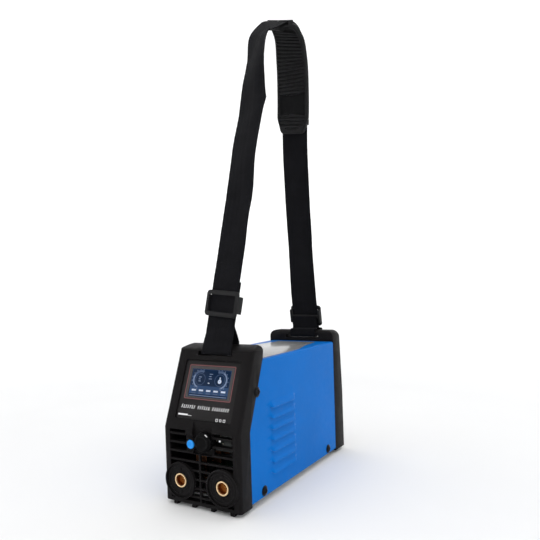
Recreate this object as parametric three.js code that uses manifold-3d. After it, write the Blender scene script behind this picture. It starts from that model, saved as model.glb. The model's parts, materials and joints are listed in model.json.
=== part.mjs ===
// A portable stick welding inverter on a webbing shoulder strap.
// Millimetres, +X to the operator's right, +Y from the front panel to the rear panel, +Z up.
// The origin is on the ground, under the middle of the overall box.
import * as THREE from "three";
import { mergeVertices } from "three/addons/utils/BufferGeometryUtils.js";
import Module from "manifold-3d";

const wasm = await Module();
wasm.setup();

// ---- driving dimensions ----
const bodyWidth = 98;
const frontY = -131.5; // lower front face
const rearDepth = 268; // rearmost point of the rear bezel, measured back from the front face
const ribHeight = 4; // foot ribs under both bezels
const kneeZ = 83; // height where the front face starts to lean back
const lean = THREE.MathUtils.degToRad(22);
const bezelDepth = 20.5;
const wall = 2.5;
const coverTopZ = 153.3;
const sheet = 1.2; // cover and base tray
const half = bodyWidth / 2;
const socketX = 27;
const socketZ = 27.5;
const knobX = 5;
const knobZ = 72;
const buttonX = -11;
const buttonZ = 68.5;
const lampX = 24.5;
const lampZ = 75.2;
const webbingWidth = 38;
const webbingThickness = 1.5;
const gap = 0.3; // kept between pieces that touch

// ---- materials ----
function material(color, roughness, metalness = 0) {
  return new THREE.MeshStandardMaterial({ color, roughness, metalness });
}
const black = material(0x232223, 0.55);
const bluePaint = material(0x2674c6, 0.4);
const zincSteel = material(0x9a9c9e, 0.45, 0.9);
const darkSteel = material(0x1c1c1e, 0.45, 0.6);
const brass = material(0xb08a4e, 0.35, 1);
const copper = material(0xb4653a, 0.35, 1);
const boardGreen = material(0x1f5a3a, 0.6);
const aluminium = material(0xb7babd, 0.4, 0.9);
const silverLabel = material(0xb2b3b4, 0.35);
const labelBlack = material(0x1a191b, 0.4);
const screenGlass = material(0x1e3851, 0.15);
const packageBlack = material(0x141416, 0.5);
const capSleeve = material(0x1b2440, 0.4);
const ferrite = material(0x3c3d40, 0.7);
const enamelWire = material(0x8c4a22, 0.4, 0.6);
const buttonBlue = material(0x207ec6, 0.4);
const switchRed = material(0x8f1e1c, 0.4);
const webbingBlack = material(0x17171a, 0.9);
const padRubber = material(0x212123, 0.7);
const wireBrown = material(0x5a3a22, 0.5);
const ribbonGrey = material(0x8d9094, 0.5);
const ledWhite = material(0xe6e8ea, 0.3);

// ---- helpers: places ----
const group = new THREE.Group();

// A distance back from the lower front face, as Y.
function at(depth) {
  return frontY + depth;
}

// The leaning upper face: x across, y into the case, z up the slope from the knee.
const slopeMatrix = new THREE.Matrix4()
  .makeRotationX(-lean)
  .setPosition(0, frontY, kneeZ);

// ---- helpers: shapes ----
function block([x0, x1], [y0, y1], [z0, z1]) {
  const box = new THREE.BoxGeometry(x1 - x0, y1 - y0, z1 - z0);
  return box.translate((x0 + x1) / 2, (y0 + y1) / 2, (z0 + z1) / 2);
}

function cylinderY(radius, x, z, [y0, y1], sides = 32) {
  const turned = new THREE.CylinderGeometry(radius, radius, y1 - y0, sides);
  return turned.translate(0, (y0 + y1) / 2, 0).translate(x, 0, z);
}

function cylinderX(radius, [x0, x1], y, z, sides = 16) {
  const turned = new THREE.CylinderGeometry(radius, radius, x1 - x0, sides).rotateZ(Math.PI / 2);
  return turned.translate((x0 + x1) / 2, y, z);
}

function cylinderZ(radius, x, y, [z0, z1], sides = 16) {
  const turned = new THREE.CylinderGeometry(radius, radius, z1 - z0, sides).rotateX(Math.PI / 2);
  return turned.translate(x, y, (z0 + z1) / 2);
}

// A ring or stepped sleeve: profile of [radius, y] pairs, turned about the Y axis through (x, z).
function turnedY(profile, x, z, sides = 32) {
  const points = profile.map(([radius, y]) => new THREE.Vector2(radius, y));
  const turned = new THREE.LatheGeometry(points, sides);
  return turned.translate(x, 0, z);
}

function outline(points) {
  return new THREE.Shape(points.map(([a, b]) => new THREE.Vector2(a, b)));
}

function roundedRect(x0, x1, z0, z1, radius) {
  const shape = new THREE.Shape();
  shape.absarc(x1 - radius, z1 - radius, radius, 0, Math.PI / 2);
  shape.absarc(x0 + radius, z1 - radius, radius, Math.PI / 2, Math.PI);
  shape.absarc(x0 + radius, z0 + radius, radius, Math.PI, 1.5 * Math.PI);
  shape.absarc(x1 - radius, z0 + radius, radius, 1.5 * Math.PI, 2 * Math.PI);
  return shape;
}

function extruded(shape, depth, curveSegments = 4) {
  return new THREE.ExtrudeGeometry(shape, { depth, bevelEnabled: false, curveSegments });
}

// An outline in (y, z), extruded from x0 to x1.
function prismX(points, [x0, x1]) {
  const turn = new THREE.Matrix4().set(0, 0, 1, x0, 1, 0, 0, 0, 0, 1, 0, 0, 0, 0, 0, 1);
  return extruded(outline(points), x1 - x0).applyMatrix4(turn);
}

// A shape in (x, z), extruded from y0 to y1.
function prismY(shape, [y0, y1], curveSegments = 4) {
  return extruded(shape, y1 - y0, curveSegments).rotateX(Math.PI / 2).translate(0, y1, 0);
}

// A shape in (x, y), extruded from z0 to z1.
function prismZ(shape, [z0, z1], curveSegments = 4) {
  return extruded(shape, z1 - z0, curveSegments).translate(0, 0, z0);
}

function onSlope(geometry) {
  return geometry.applyMatrix4(slopeMatrix);
}

// Stations of {place, across} along a path, squared up: across at a right angle to the path,
// and inward pointing off its face.
function squared(stations) {
  return stations.map((station, i) => {
    const before = stations[Math.max(i - 1, 0)].place;
    const after = stations[Math.min(i + 1, stations.length - 1)].place;
    const along = after.clone().sub(before).normalize();
    const across = station.across.clone();
    across.addScaledVector(along, -across.dot(along)).normalize();
    return { place: station.place, across, inward: along.clone().cross(across) };
  });
}

// A thin solid that follows squared stations.
function ribbon(frames, width, thickness, offset = 0) {
  const steps = frames.length - 1;
  const geometry = new THREE.BoxGeometry(width, thickness, steps, 1, 1, steps);
  const position = geometry.attributes.position;
  const point = new THREE.Vector3();
  for (let i = 0; i < position.count; i += 1) {
    const frame = frames[Math.round(position.getZ(i) + steps / 2)];
    point.copy(frame.place);
    point.addScaledVector(frame.across, position.getX(i));
    point.addScaledVector(frame.inward, position.getY(i) + offset);
    position.setXYZ(i, point.x, point.y, point.z);
  }
  return geometry;
}

// ---- helpers: solids ----
function solid(geometry) {
  const bare = geometry.clone();
  bare.deleteAttribute("normal");
  bare.deleteAttribute("uv");
  const merged = mergeVertices(bare, 1e-3);
  const vertProperties = new Float32Array(merged.attributes.position.array);
  const triVerts = new Uint32Array(merged.index.array);
  return new wasm.Manifold(new wasm.Mesh({ numProp: 3, vertProperties, triVerts }));
}

function join(...geometries) {
  return geometries.map(solid).reduce((sum, next) => sum.add(next));
}

function cut(body, ...tools) {
  return body.subtract(join(...tools));
}

function geometryOf(body) {
  const { vertProperties, triVerts, numProp } = body.getMesh();
  const geometry = new THREE.BufferGeometry();
  const places = [];
  for (let i = 0; i < vertProperties.length; i += numProp) {
    places.push(vertProperties[i], vertProperties[i + 1], vertProperties[i + 2]);
  }
  geometry.setAttribute("position", new THREE.Float32BufferAttribute(places, 3));
  geometry.setIndex([...triVerts]);
  const flat = geometry.toNonIndexed();
  flat.computeVertexNormals();
  return flat;
}

function add(name, shape, look, parent = group) {
  const geometry = shape.isBufferGeometry ? shape : geometryOf(shape);
  const mesh = new THREE.Mesh(geometry, look.clone());
  mesh.name = name;
  parent.add(mesh);
  return mesh;
}

// Both sides of the case.
const sides = [-1, 1];

// ---- front bezel ----
const bezelTopY = 52.9; // depth of the bezel's highest edge
const bezelTopZ = 169;
const slopeRise = 84; // length of the leaning face
const cornerChamfer = 4;

// The case's plan at the front, with rounded corners, leaning back above the knee.
function frontPlan(z0, z1, y0, y1) {
  const shape = new THREE.Shape();
  shape.moveTo(-half, y1);
  shape.lineTo(-half, y0 + cornerChamfer);
  shape.absarc(-half + cornerChamfer, y0 + cornerChamfer, cornerChamfer, Math.PI, 1.5 * Math.PI);
  shape.absarc(half - cornerChamfer, y0 + cornerChamfer, cornerChamfer, 1.5 * Math.PI, 2 * Math.PI);
  shape.lineTo(half, y1);
  const prism = prismZ(shape, [z0, z1]);
  const position = prism.attributes.position;
  for (let i = 0; i < position.count; i += 1) {
    const above = Math.max(position.getZ(i) - kneeZ, 0);
    position.setY(i, position.getY(i) + above * Math.tan(lean));
  }
  return prism;
}

const slopeTop = [Math.sin(lean) * slopeRise, kneeZ + Math.cos(lean) * slopeRise];
const frontProfile = [
  [-1, ribHeight],
  [-1, kneeZ],
  [slopeTop[0] - 1, slopeTop[1]],
  [slopeTop[0] + 1, slopeTop[1] + 2.6],
  [slopeTop[0] + 4.6, slopeTop[1] + 4.4],
  [bezelTopY - 2, bezelTopZ],
  [bezelTopY, bezelTopZ - 2.4],
  [50.4, coverTopZ + 1],
  [bezelDepth, kneeZ - 1],
  [bezelDepth, ribHeight],
].map(([depth, z]) => [at(depth), z]);

const frontCavity = [
  [wall, ribHeight + wall],
  [wall, 56],
  [7, 56],
  [7, 90],
  [9.6, 96.5],
  [30.5, 148.5],
  [34, coverTopZ - 2.5],
  [60, coverTopZ - 2.5],
  [60, ribHeight + wall],
].map(([depth, z]) => [at(depth), z]);

const barPitch = 9.3;
const barThickness = 2;
const slotDepth = 8; // through the thick wall behind the knob
const grilleBottom = 7.6;
const grilleTop = 82;
const firstBar = 12.4;
const grilleBars = 8;

// Slots between the grille bars, with a rib down the middle.
function grilleSlots() {
  const slots = [];
  for (let row = 0; row <= grilleBars; row += 1) {
    const bar = firstBar + row * barPitch;
    const bottom = row === 0 ? grilleBottom : bar - barPitch + barThickness / 2;
    const top = row === grilleBars ? grilleTop : bar - barThickness / 2;
    slots.push(block([-40.5, -2.5], [at(-2), at(slotDepth)], [bottom, top]));
    slots.push(block([-0.5, 40.5], [at(-2), at(slotDepth)], [bottom, top]));
  }
  return slots;
}

const slotTools = grilleSlots();
const keepClear = join(
  cylinderY(19.6, -socketX, socketZ, [at(-3), at(slotDepth + 1)]),
  cylinderY(19.6, socketX, socketZ, [at(-3), at(slotDepth + 1)]),
  block([-19, 15], [at(-3), at(slotDepth + 1)], [58.5, 90]),
);
const openSlots = join(...slotTools).subtract(keepClear);

const frontOuter = join(frontPlan(ribHeight, kneeZ, at(0), at(80)), frontPlan(kneeZ, 185, at(0), at(80)))
  .intersect(solid(prismX(frontProfile, [-60, 60])))
  .intersect(solid(prismY(roundedRect(-half, half, -20, bezelTopZ, 8), [at(-5), at(90)])));

const footRibs = [-36.6, -12.2, 12.2, 36.6];
const frontRibs = footRibs.map((x) => block([x - 2.3, x + 2.3], [at(1.5), at(19)], [0, ribHeight + 0.5]));
const socketRings = sides.map((side) =>
  solid(cylinderY(19.5, side * socketX, socketZ, [at(-2.6), at(0.5)])).subtract(
    solid(cylinderY(17.9, side * socketX, socketZ, [at(-4), at(2)])),
  ),
);

let frontBezel = cut(
  frontOuter,
  prismX(frontCavity, [-half + wall, half - wall]),
  // the strap's slot through the top, and the space over the cover behind it
  block([-22.5, 22.5], [at(25), at(60)], [158, 162.3]),
  // the recess for the control label, and the display's window
  onSlope(prismY(roundedRect(-36.3, 36.3, 10.8, 75.7, 2.5), [-3, 2.4])),
  onSlope(block([-26.2, 26.2], [-1, 12], [35.1, 66.6])),
  // the scoop over the knob
  block([-10, 15], [at(-6), at(3.8)], [58.5, 93]),
  block([-19, -9], [at(-6), at(1.6)], [60, 77.6]),
  cylinderY(11.2, knobX, knobZ, [at(-6), at(3.8)]),
  // holes for the encoder, the button, the lamp and the sockets
  cylinderY(3.9, knobX, knobZ, [at(0), at(9)], 20),
  cylinderY(5.1, buttonX, buttonZ, [at(-2), at(9)], 24),
  ...sides.map((side) => cylinderY(15.3, side * socketX, socketZ, [at(-4), at(4)])),
  // screw holes at the seam with the cover, and at the foot of each side
  cylinderX(2.4, [-60, 60], at(36.6), 121),
);
frontBezel = frontBezel.subtract(openSlots);
for (const extra of [...frontRibs.map(solid), ...socketRings]) {
  frontBezel = frontBezel.add(extra);
}
add("front_bezel", frontBezel, black);

// ---- rear bezel ----
const rearProfile = [
  [239, ribHeight],
  [rearDepth, ribHeight],
  [rearDepth - 1, kneeZ],
  [261.4, coverTopZ + 6],
  [257.5, bezelTopZ - 0.7],
  [242, bezelTopZ - 0.7],
  [239, bezelTopZ - 3],
].map(([depth, z]) => [at(depth), z]);
const rearSlotX = 25;
const panelDepth = 252; // inner face of the rear panel
const fanCentre = [0, 58];
const fanScrewReach = 35.75; // from the fan's middle to its screws, across and up
const fanScrewPlaces = sides.flatMap((a) =>
  sides.map((b) => [fanScrewReach * a, fanCentre[1] + fanScrewReach * b]),
);
const screwHole = 2.2;
const switchCentre = [-22, 128];
const glandCentre = [24, 128];

const rearOuter = solid(prismX(rearProfile, [-half, half])).intersect(
  solid(prismY(roundedRect(-half, half, -20, bezelTopZ - 0.7, 9), [at(230), at(280)])),
);
const rearBezel = cut(
  rearOuter,
  // inside of the case, and the sunk field behind the rear panel
  block([-half + wall, half - wall], [at(230), at(panelDepth)], [ribHeight + wall, coverTopZ - 2.5]),
  prismY(roundedRect(-44.5, 44.5, 8.5, 151, 3), [at(panelDepth + wall), at(280)]),
  // the strap's slot
  block([-rearSlotX + 2, rearSlotX + 2], [at(230), at(280)], [158, 162.3]),
  // fan opening, switch, cable gland, earth screw and fan screws
  cylinderY(36, ...fanCentre, [at(250), at(257)], 40),
  block([-36, -8], [at(250), at(257)], [118, 138]),
  cylinderY(8.2, ...glandCentre, [at(250), at(257)], 24),
  cylinderY(screwHole, 0, 112, [at(250), at(257)], 12),
  ...fanScrewPlaces.map(([x, z]) => cylinderY(screwHole, x, z, [at(250), at(257)], 12)),
);
let rearShell = rearBezel;
for (const x of footRibs) {
  rearShell = rearShell.add(solid(block([x - 2.3, x + 2.3], [at(245), at(262)], [0, ribHeight + 0.5])));
}
add("rear_bezel", rearShell, black);

// ---- cover: one folded sheet over both sides and the top ----
const coverHalf = half - 0.2;
const coverBottomZ = ribHeight + 3.3;
const coverSide = [
  [bezelDepth + gap, coverBottomZ],
  [bezelDepth + gap, kneeZ - 1],
  [50.4 + gap, coverTopZ + 1],
  [239 - gap, coverTopZ + 1],
  [239 - gap, coverBottomZ],
].map(([depth, z]) => [at(depth), z]);
const louvreCount = 7;
const louvrePitch = 12.1;
const louvreFirstZ = 27;
const louvreDepths = [63, 120];
const louvreRise = 1.7;
const louvreHeight = 7.5;

// The hood of one louvre, open along its lower edge.
function louvreHood(side, z, grow) {
  const x = side * (coverHalf - sheet);
  const out = side * (coverHalf + louvreRise - grow);
  const [y0, y1] = louvreDepths.map(at);
  const shape = new THREE.Shape();
  shape.moveTo(x, z - 1);
  shape.lineTo(out, z - 1);
  shape.lineTo(out, z + 1 - grow / 2);
  shape.lineTo(side * (coverHalf + louvreRise * 0.7 - grow), z + louvreHeight * 0.5 - grow);
  shape.lineTo(x + side * sheet * (1 - grow / 2), z + louvreHeight - grow);
  shape.lineTo(x, z + louvreHeight - grow);
  return solid(prismY(shape, [y0 + grow * 2, y1 - grow * 2]));
}

const coverSection = roundedRect(-coverHalf, coverHalf, -20, coverTopZ, 2.6);
const insideSection = roundedRect(-coverHalf + sheet, coverHalf - sheet, -21, coverTopZ - sheet, 1.4);
let cover = solid(prismX(coverSide, [-60, 60]))
  .intersect(solid(prismY(coverSection, [at(0), at(240)])))
  .subtract(solid(prismY(insideSection, [at(0), at(241)])));
for (const side of sides) {
  for (let i = 0; i < louvreCount; i += 1) {
    const z = louvreFirstZ + i * louvrePitch;
    cover = cover.add(louvreHood(side, z, 0));
    cover = cover.subtract(louvreHood(side, z - 1.2, 0.9));
  }
}
const sideScrews = [
  [36.6, 121],
  [46, 13.4],
  [213, 13.4],
];
cover = cut(cover, ...sideScrews.map(([depth, z]) => cylinderX(2.6, [-60, 60], at(depth), z, 16)));
add("cover", cover, bluePaint);

// ---- base tray ----
const trayHalf = coverHalf - sheet - gap;
const trayShape = new THREE.Shape();
trayShape.moveTo(-trayHalf, coverBottomZ);
trayShape.lineTo(trayHalf, coverBottomZ);
trayShape.lineTo(trayHalf, 24);
trayShape.lineTo(trayHalf - sheet, 24);
trayShape.lineTo(trayHalf - sheet, coverBottomZ + sheet);
trayShape.lineTo(-trayHalf + sheet, coverBottomZ + sheet);
trayShape.lineTo(-trayHalf + sheet, 24);
trayShape.lineTo(-trayHalf, 24);
const bottomVents = [];
for (let row = 0; row < 6; row += 1) {
  const y = at(80 + row * 14);
  bottomVents.push(block([-26, 26], [y, y + 4], [0, 12]));
}
const tray = cut(
  solid(prismY(trayShape, [at(bezelDepth + gap), at(239 - gap)])),
  ...bottomVents,
  ...sideScrews.slice(1).map(([depth, z]) => cylinderX(2.6, [-60, 60], at(depth), z, 16)),
  ...sides.flatMap((side) => [70, 205].map((depth) => cylinderZ(1.8, side * 37, at(depth), [0, 12], 12))),
);
add("base_tray", tray, zincSteel);

// ---- labels ----
const topLabelZ = [coverTopZ + 0.17, coverTopZ + 0.5];
add("top_label", prismZ(roundedRect(-43, 43, at(55), at(226), 3), topLabelZ), silverLabel);
const labelPlate = onSlope(prismY(roundedRect(-35.9, 35.9, 11.2, 75.3, 2.2), [1.3, 2.1]));
const labelWindow = onSlope(block([-25.8, 25.8], [0, 4], [35.4, 66.3]));
add("control_label", cut(solid(labelPlate), labelWindow), labelBlack);

// ---- display ----
add("lcd_window", onSlope(block([-25.5, 25.5], [1.5, 3.4], [35.7, 66])), screenGlass);
add("lcd_module", onSlope(block([-31, 31], [5.6, 9.4], [31.5, 70.5])), packageBlack);
add("display_board", onSlope(block([-36, 36], [9.7, 11.3], [16, 73])), boardGreen);

// ---- knob, encoder and button ----
const knobRadius = 10.5;
const knobFront = at(-5);
const knobBack = at(3.2);
const knobGrips = 12;
const gripReach = knobRadius + 0.35;
const knobBody = cut(
  solid(
    turnedY(
      [
        [0, knobFront],
        [7.6, knobFront],
        [8.6, knobFront + 0.5],
        [9.6, knobFront + 2.2],
        [knobRadius, knobFront + 3],
        [knobRadius, knobBack],
        [0, knobBack],
      ],
      knobX,
      knobZ,
      24,
    ),
  ),
  cylinderY(3.2, knobX, knobZ, [knobFront + 3, knobBack + 1], 16),
  ...Array.from({ length: knobGrips }, (unused, i) => {
    const turn = (i / knobGrips) * 2 * Math.PI;
    const x = knobX + gripReach * Math.cos(turn);
    const z = knobZ + gripReach * Math.sin(turn);
    return cylinderY(0.8, x, z, [at(-1.6), at(5)], 4);
  }),
  block([knobX - 0.5, knobX + 0.5], [knobFront - 1, knobFront + 0.4], [knobZ + 2, knobZ + 7.2]),
);
add("control_knob", knobBody, black);
add("encoder_shaft", cylinderY(2.9, knobX, knobZ, [knobFront + 3.4, at(12)], 16), zincSteel);
const encoderBody = cut(
  join(
    block([knobX - 6, knobX + 6], [at(8.4), at(14)], [knobZ - 6, knobZ + 6]),
    cylinderY(3.5, knobX, knobZ, [at(4.2), at(9)], 20),
  ),
  cylinderY(3.2, knobX, knobZ, [at(0), at(12.4)], 16),
);
add("encoder_body", encoderBody, zincSteel);
add(
  "select_button",
  join(
    cylinderY(4.7, buttonX, buttonZ, [at(-3), at(8)], 24),
    cylinderY(5.9, buttonX, buttonZ, [at(7.3), at(8.6)], 24),
  ),
  buttonBlue,
);
const switchReach = 3.2;
add(
  "button_switch",
  block(
    [buttonX - switchReach, buttonX + switchReach],
    [at(10.6), at(14)],
    [buttonZ - switchReach, buttonZ + switchReach],
  ),
  packageBlack,
);
add("key_board", block([-21, 30], [at(14.3), at(15.9)], [60.5, 85]), boardGreen);
add("status_led", cylinderY(1.1, lampX, lampZ, [at(0.6), at(14)], 12), ledWhite);

// ---- output sockets ----
const socketNames = ["negative", "positive"];
sides.forEach((side, i) => {
  const x = side * socketX;
  const shell = turnedY(
    [
      [8.4, at(-1)],
      [9.6, at(-1)],
      [10.2, at(-0.2)],
      [14.2, at(-0.2)],
      [14.6, at(-1.2)],
      [17.5, at(-1.2)],
      [17.5, at(-gap)],
      [14.9, at(-gap)],
      [14.9, at(20)],
      [8.4, at(20)],
      [8.4, at(-1)],
    ],
    x,
    socketZ,
    24,
  );
  add(`socket_body_${socketNames[i]}`, shell, black);
  const contact = cut(
    solid(
      turnedY(
        [
          [4.7, at(-0.4)],
          [5.3, at(-1.2)],
          [7.9, at(-1.2)],
          [7.9, at(24)],
          [5.5, at(24)],
          [5.5, at(42)],
          [0, at(42)],
          [0, at(20)],
          [4.7, at(20)],
          [4.7, at(-0.4)],
        ],
        x,
        socketZ,
        20,
      ),
    ),
    block([x - 1.3, x + 1.3], [at(-3), at(9)], [socketZ + 3.5, socketZ + 6.4]),
  );
  add(`socket_contact_${socketNames[i]}`, contact, brass);
  const bar = prismX(
    [
      [36, 18],
      [38, 18],
      [38, 50],
      [64, 50],
      [64, 27.9],
      [66, 27.9],
      [66, 52],
      [36, 52],
    ].map(([depth, z]) => [at(depth), z]),
    [x - 7, x + 7],
  );
  add(`busbar_${socketNames[i]}`, cut(solid(bar), cylinderY(5.9, x, socketZ, [at(30), at(40)], 20)), copper);
});

// ---- main board and what stands on it ----
const boardTop = 27.6;
const onBoard = boardTop + gap;
add("main_board", block([-43, 43], [at(62), at(216)], [26, boardTop]), boardGreen);
const postPlaces = sides.flatMap((side) => [70, 205].map((depth) => [side * 37, at(depth)]));
const frameRails = sides.map((side) => {
  const x = side * 37;
  return block([x - 2, x + 2], [at(70), at(205)], [coverBottomZ + sheet + gap, 13]);
});
const frameTies = [70, 205].map((depth) => {
  const y = at(depth);
  return block([-37, 37], [y - 2, y + 2], [coverBottomZ + sheet + gap, 13]);
});
const framePosts = postPlaces.map(([x, y]) =>
  cylinderZ(4.5, x, y, [coverBottomZ + sheet + gap, 26 - gap], 12),
);
add("board_frame", join(...frameRails, ...frameTies, ...framePosts), packageBlack);

const finCount = 7;
function heatsink(side) {
  const inner = side * 14.5;
  const outer = side * 42;
  const low = Math.min(inner, outer);
  const high = Math.max(inner, outer);
  const body = solid(block([low, high], [at(112), at(178)], [onBoard + 3, 86]));
  const fins = [];
  for (let i = 0; i < finCount; i += 1) {
    const z = onBoard + 7 + i * 7.2;
    fins.push(block(side > 0 ? [19, 43] : [-43, -19], [at(111), at(179)], [z, z + 4.6]));
  }
  return cut(body, ...fins);
}
add("heatsink_left", heatsink(-1), aluminium);
add("heatsink_right", heatsink(1), aluminium);
const transistorDepths = [118, 134, 150, 164];
// Four packages side by side, pressed to a heatsink by one clamp bar.
const packages = (side) =>
  join(
    ...transistorDepths.map((depth) =>
      block(side > 0 ? [9.2, 14.2] : [-14.2, -9.2], [at(depth), at(depth + 13)], [40, 60]),
    ),
    block(side > 0 ? [7, 10] : [-10, -7], [at(115), at(178)], [48, 54]),
  );
add("igbt_transistors", packages(-1), packageBlack);
add("output_diodes", packages(1), packageBlack);
add("bridge_rectifier", block([-40, -16], [at(130), at(154)], [86.3, 93]), packageBlack);
[-16, 16].forEach((x, i) => {
  add(`bulk_capacitor_${i + 1}`, cylinderZ(12.5, x, at(195), [onBoard, 68], 24), capSleeve);
});

// Transformer: a core with two windows round a wound coil.
const coreZ = onBoard + 2;
add(
  "transformer_core",
  cut(
    solid(block([-40, 4], [at(76), at(100)], [coreZ, coreZ + 42])),
    block([-33, -24.2], [at(70), at(110)], [coreZ + 7, coreZ + 35]),
    block([-11.8, -3], [at(70), at(110)], [coreZ + 7, coreZ + 35]),
  ),
  ferrite,
);
add(
  "transformer_winding",
  cut(
    solid(prismZ(roundedRect(-32, -4, at(71), at(105), 4), [coreZ + 7.6, coreZ + 34.4])),
    block([-24.6, -11.4], [at(75.6), at(100.4)], [coreZ, coreZ + 50]),
  ),
  enamelWire,
);
const chokeCentre = [24, at(88)];
const chokeRing = (outer, inner, z0, z1) =>
  solid(cylinderZ(outer, ...chokeCentre, [z0, z1], 20)).subtract(
    solid(cylinderZ(inner, ...chokeCentre, [z0 - 1, z1 + 1], 20)),
  );
add("choke_core", chokeRing(13.5, 9, coreZ + 3, coreZ + 17), ferrite);
const chokeWinding = cut(
  chokeRing(15.8, 6.8, coreZ, coreZ + 20),
  block([20, 28], [at(60), at(88)], [coreZ - 2, coreZ + 22]),
).subtract(chokeRing(13.8, 8.7, coreZ + 2.7, coreZ + 17.3));
add("choke_winding", chokeWinding, enamelWire);
add("control_board", block([-40, 40], [at(107.4), at(109)], [30, 82]), boardGreen);

// ---- fan ----
const fanY = [at(226), at(panelDepth - gap)];
const fanSpokes = [0, 1, 2, 3].map((i) => {
  const spoke = block([10, 38.5], [fanY[0], fanY[0] + 3], [-1.6, 1.6]);
  return spoke.rotateY((i * Math.PI) / 2 + Math.PI / 4).translate(0, 0, fanCentre[1]);
});
const fanFrame = cut(
  solid(prismY(roundedRect(-40, 40, fanCentre[1] - 40, fanCentre[1] + 40, 4), fanY)),
  cylinderY(38, ...fanCentre, [fanY[0] - 1, fanY[1] + 1], 40),
  ...fanScrewPlaces.map(([x, z]) => cylinderY(screwHole, x, z, [fanY[0] - 1, fanY[1] + 1], 12)),
).add(join(...fanSpokes, cylinderY(13, ...fanCentre, [fanY[0], fanY[0] + 3], 24)));
add("fan_frame", fanFrame, black);
const bladeCount = 7;
const blades = Array.from({ length: bladeCount }, (unused, i) => {
  const blade = new THREE.BoxGeometry(22.5, 1.6, 17).rotateX(THREE.MathUtils.degToRad(58));
  blade.translate(25, 0, 0).rotateY((i / bladeCount) * 2 * Math.PI);
  return blade.translate(0, fanY[0] + 13.5, fanCentre[1]);
});
add("fan_rotor", join(cylinderY(15, ...fanCentre, [fanY[0] + 4, fanY[1] - 3], 28), ...blades), black);

// Wire guard over the fan opening: rings on four spokes.
const guardY = [at(panelDepth + wall + gap), at(panelDepth + wall + gap + 1.8)];
const guardRing = (radius) =>
  solid(cylinderY(radius + 1, ...fanCentre, guardY, 24)).subtract(
    solid(cylinderY(radius - 1, ...fanCentre, [guardY[0] - 1, guardY[1] + 1], 24)),
  );
let guard = [9, 18, 27, 36].map(guardRing).reduce((sum, next) => sum.add(next));
for (let i = 0; i < 2; i += 1) {
  const spoke = block([-49, 49], guardY, [-1.2, 1.2]).rotateY(Math.PI / 4 + (i * Math.PI) / 2);
  guard = guard.add(solid(spoke.translate(0, 0, fanCentre[1])));
}
for (const [x, z] of fanScrewPlaces) {
  guard = guard.add(solid(cylinderY(4.2, x, z, guardY, 12)));
}
guard = cut(
  guard.intersect(solid(block([-44, 44], [at(250), at(260)], [9, 102]))),
  ...fanScrewPlaces.map(([x, z]) => cylinderY(screwHole, x, z, [at(250), at(260)], 12)),
);
add("fan_guard", guard, darkSteel);

// A round-head screw along Y, head at the rear.
const screwHeadHeight = 2.2;
function screwY(x, z, [y0, y1], headRadius, shankRadius) {
  const profile = [
    [0, y0],
    [shankRadius, y0],
    [shankRadius, y1 - screwHeadHeight],
    [headRadius, y1 - screwHeadHeight],
    [headRadius, y1 - 0.9],
    [headRadius * 0.7, y1],
    [0, y1],
  ];
  return turnedY(profile, x, z, 10);
}
const guardScrewY = [fanY[0] + 4, guardY[1] + gap + screwHeadHeight];
fanScrewPlaces.forEach(([x, z], i) => {
  add(`fan_screw_${i + 1}`, screwY(x, z, guardScrewY, 3.8, 1.8), darkSteel);
});

// ---- mains switch, cable gland and earth screw ----
const [switchX, switchZ] = switchCentre;
const panelY = at(panelDepth + wall);
const switchHousing = cut(
  join(
    block([switchX - 15.5, switchX + 15.5], [panelY + gap, panelY + 2.2], [switchZ - 11.5, switchZ + 11.5]),
    block([switchX - 13.6, switchX + 13.6], [at(231), panelY + 1], [switchZ - 9.6, switchZ + 9.6]),
  ),
  block([switchX - 9, switchX + 9], [at(240), panelY + 5], [switchZ - 8.5, switchZ + 8.5]),
);
add("power_switch_housing", switchHousing, packageBlack);
const rockerPivotY = panelY - 5;
const rockerTilt = THREE.MathUtils.degToRad(8);
const rocker = new THREE.Group();
rocker.position.set(switchX, rockerPivotY, switchZ);
rocker.rotation.x = rockerTilt;
group.add(rocker);
const rockerShape = prismX(
  [
    [-2, -2.5],
    [1, -6.6],
    [8.6, -7.4],
    [6.4, 0],
    [8.6, 7.4],
    [1, 6.6],
    [-2, 2.5],
  ],
  [-8.6, 8.6],
);
add("power_switch_rocker", rockerShape, switchRed, rocker);

const [glandX, glandZ] = glandCentre;
const glandFront = at(246);
add(
  "cable_gland",
  cut(
    join(
      cylinderY(7.9, glandX, glandZ, [glandFront, panelY + 2], 24),
      cylinderY(12.5, glandX, glandZ, [panelY + gap, panelY + 4.5], 6),
      cylinderY(10, glandX, glandZ, [panelY + 4, at(264)], 24),
    ),
    cylinderY(4.4, glandX, glandZ, [at(240), at(270)], 20),
  ),
  black,
);
const nutY = [glandFront + 1, at(panelDepth) - gap];
const glandNut = cut(
  solid(cylinderY(13, glandX, glandZ, nutY, 6)),
  cylinderY(8.2, glandX, glandZ, [at(240), at(256)], 24),
);
add("gland_nut", glandNut, black);
add("earth_screw", screwY(0, 112, [at(246), panelY + gap + screwHeadHeight], 4.2, 1.9), brass);

// ---- screws in the sides ----
function sideScrew(side, depth, z) {
  const profile = [
    [0, 0],
    [1.9, 0],
    [1.9, 7.2],
    [4.7, 7.2],
    [4.7, 8.4],
    [3.8, 9.3],
    [0, 9.3],
  ];
  const outward = -side * (Math.PI / 2);
  return turnedY(profile, 0, 0, 12).rotateZ(outward).translate(side * 42, at(depth), z);
}
const sideNames = ["left", "right"];
sides.forEach((side, i) => {
  sideScrews.forEach(([depth, z], j) => {
    add(`cover_screw_${sideNames[i]}_${j + 1}`, sideScrew(side, depth, z), darkSteel);
  });
});

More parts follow.
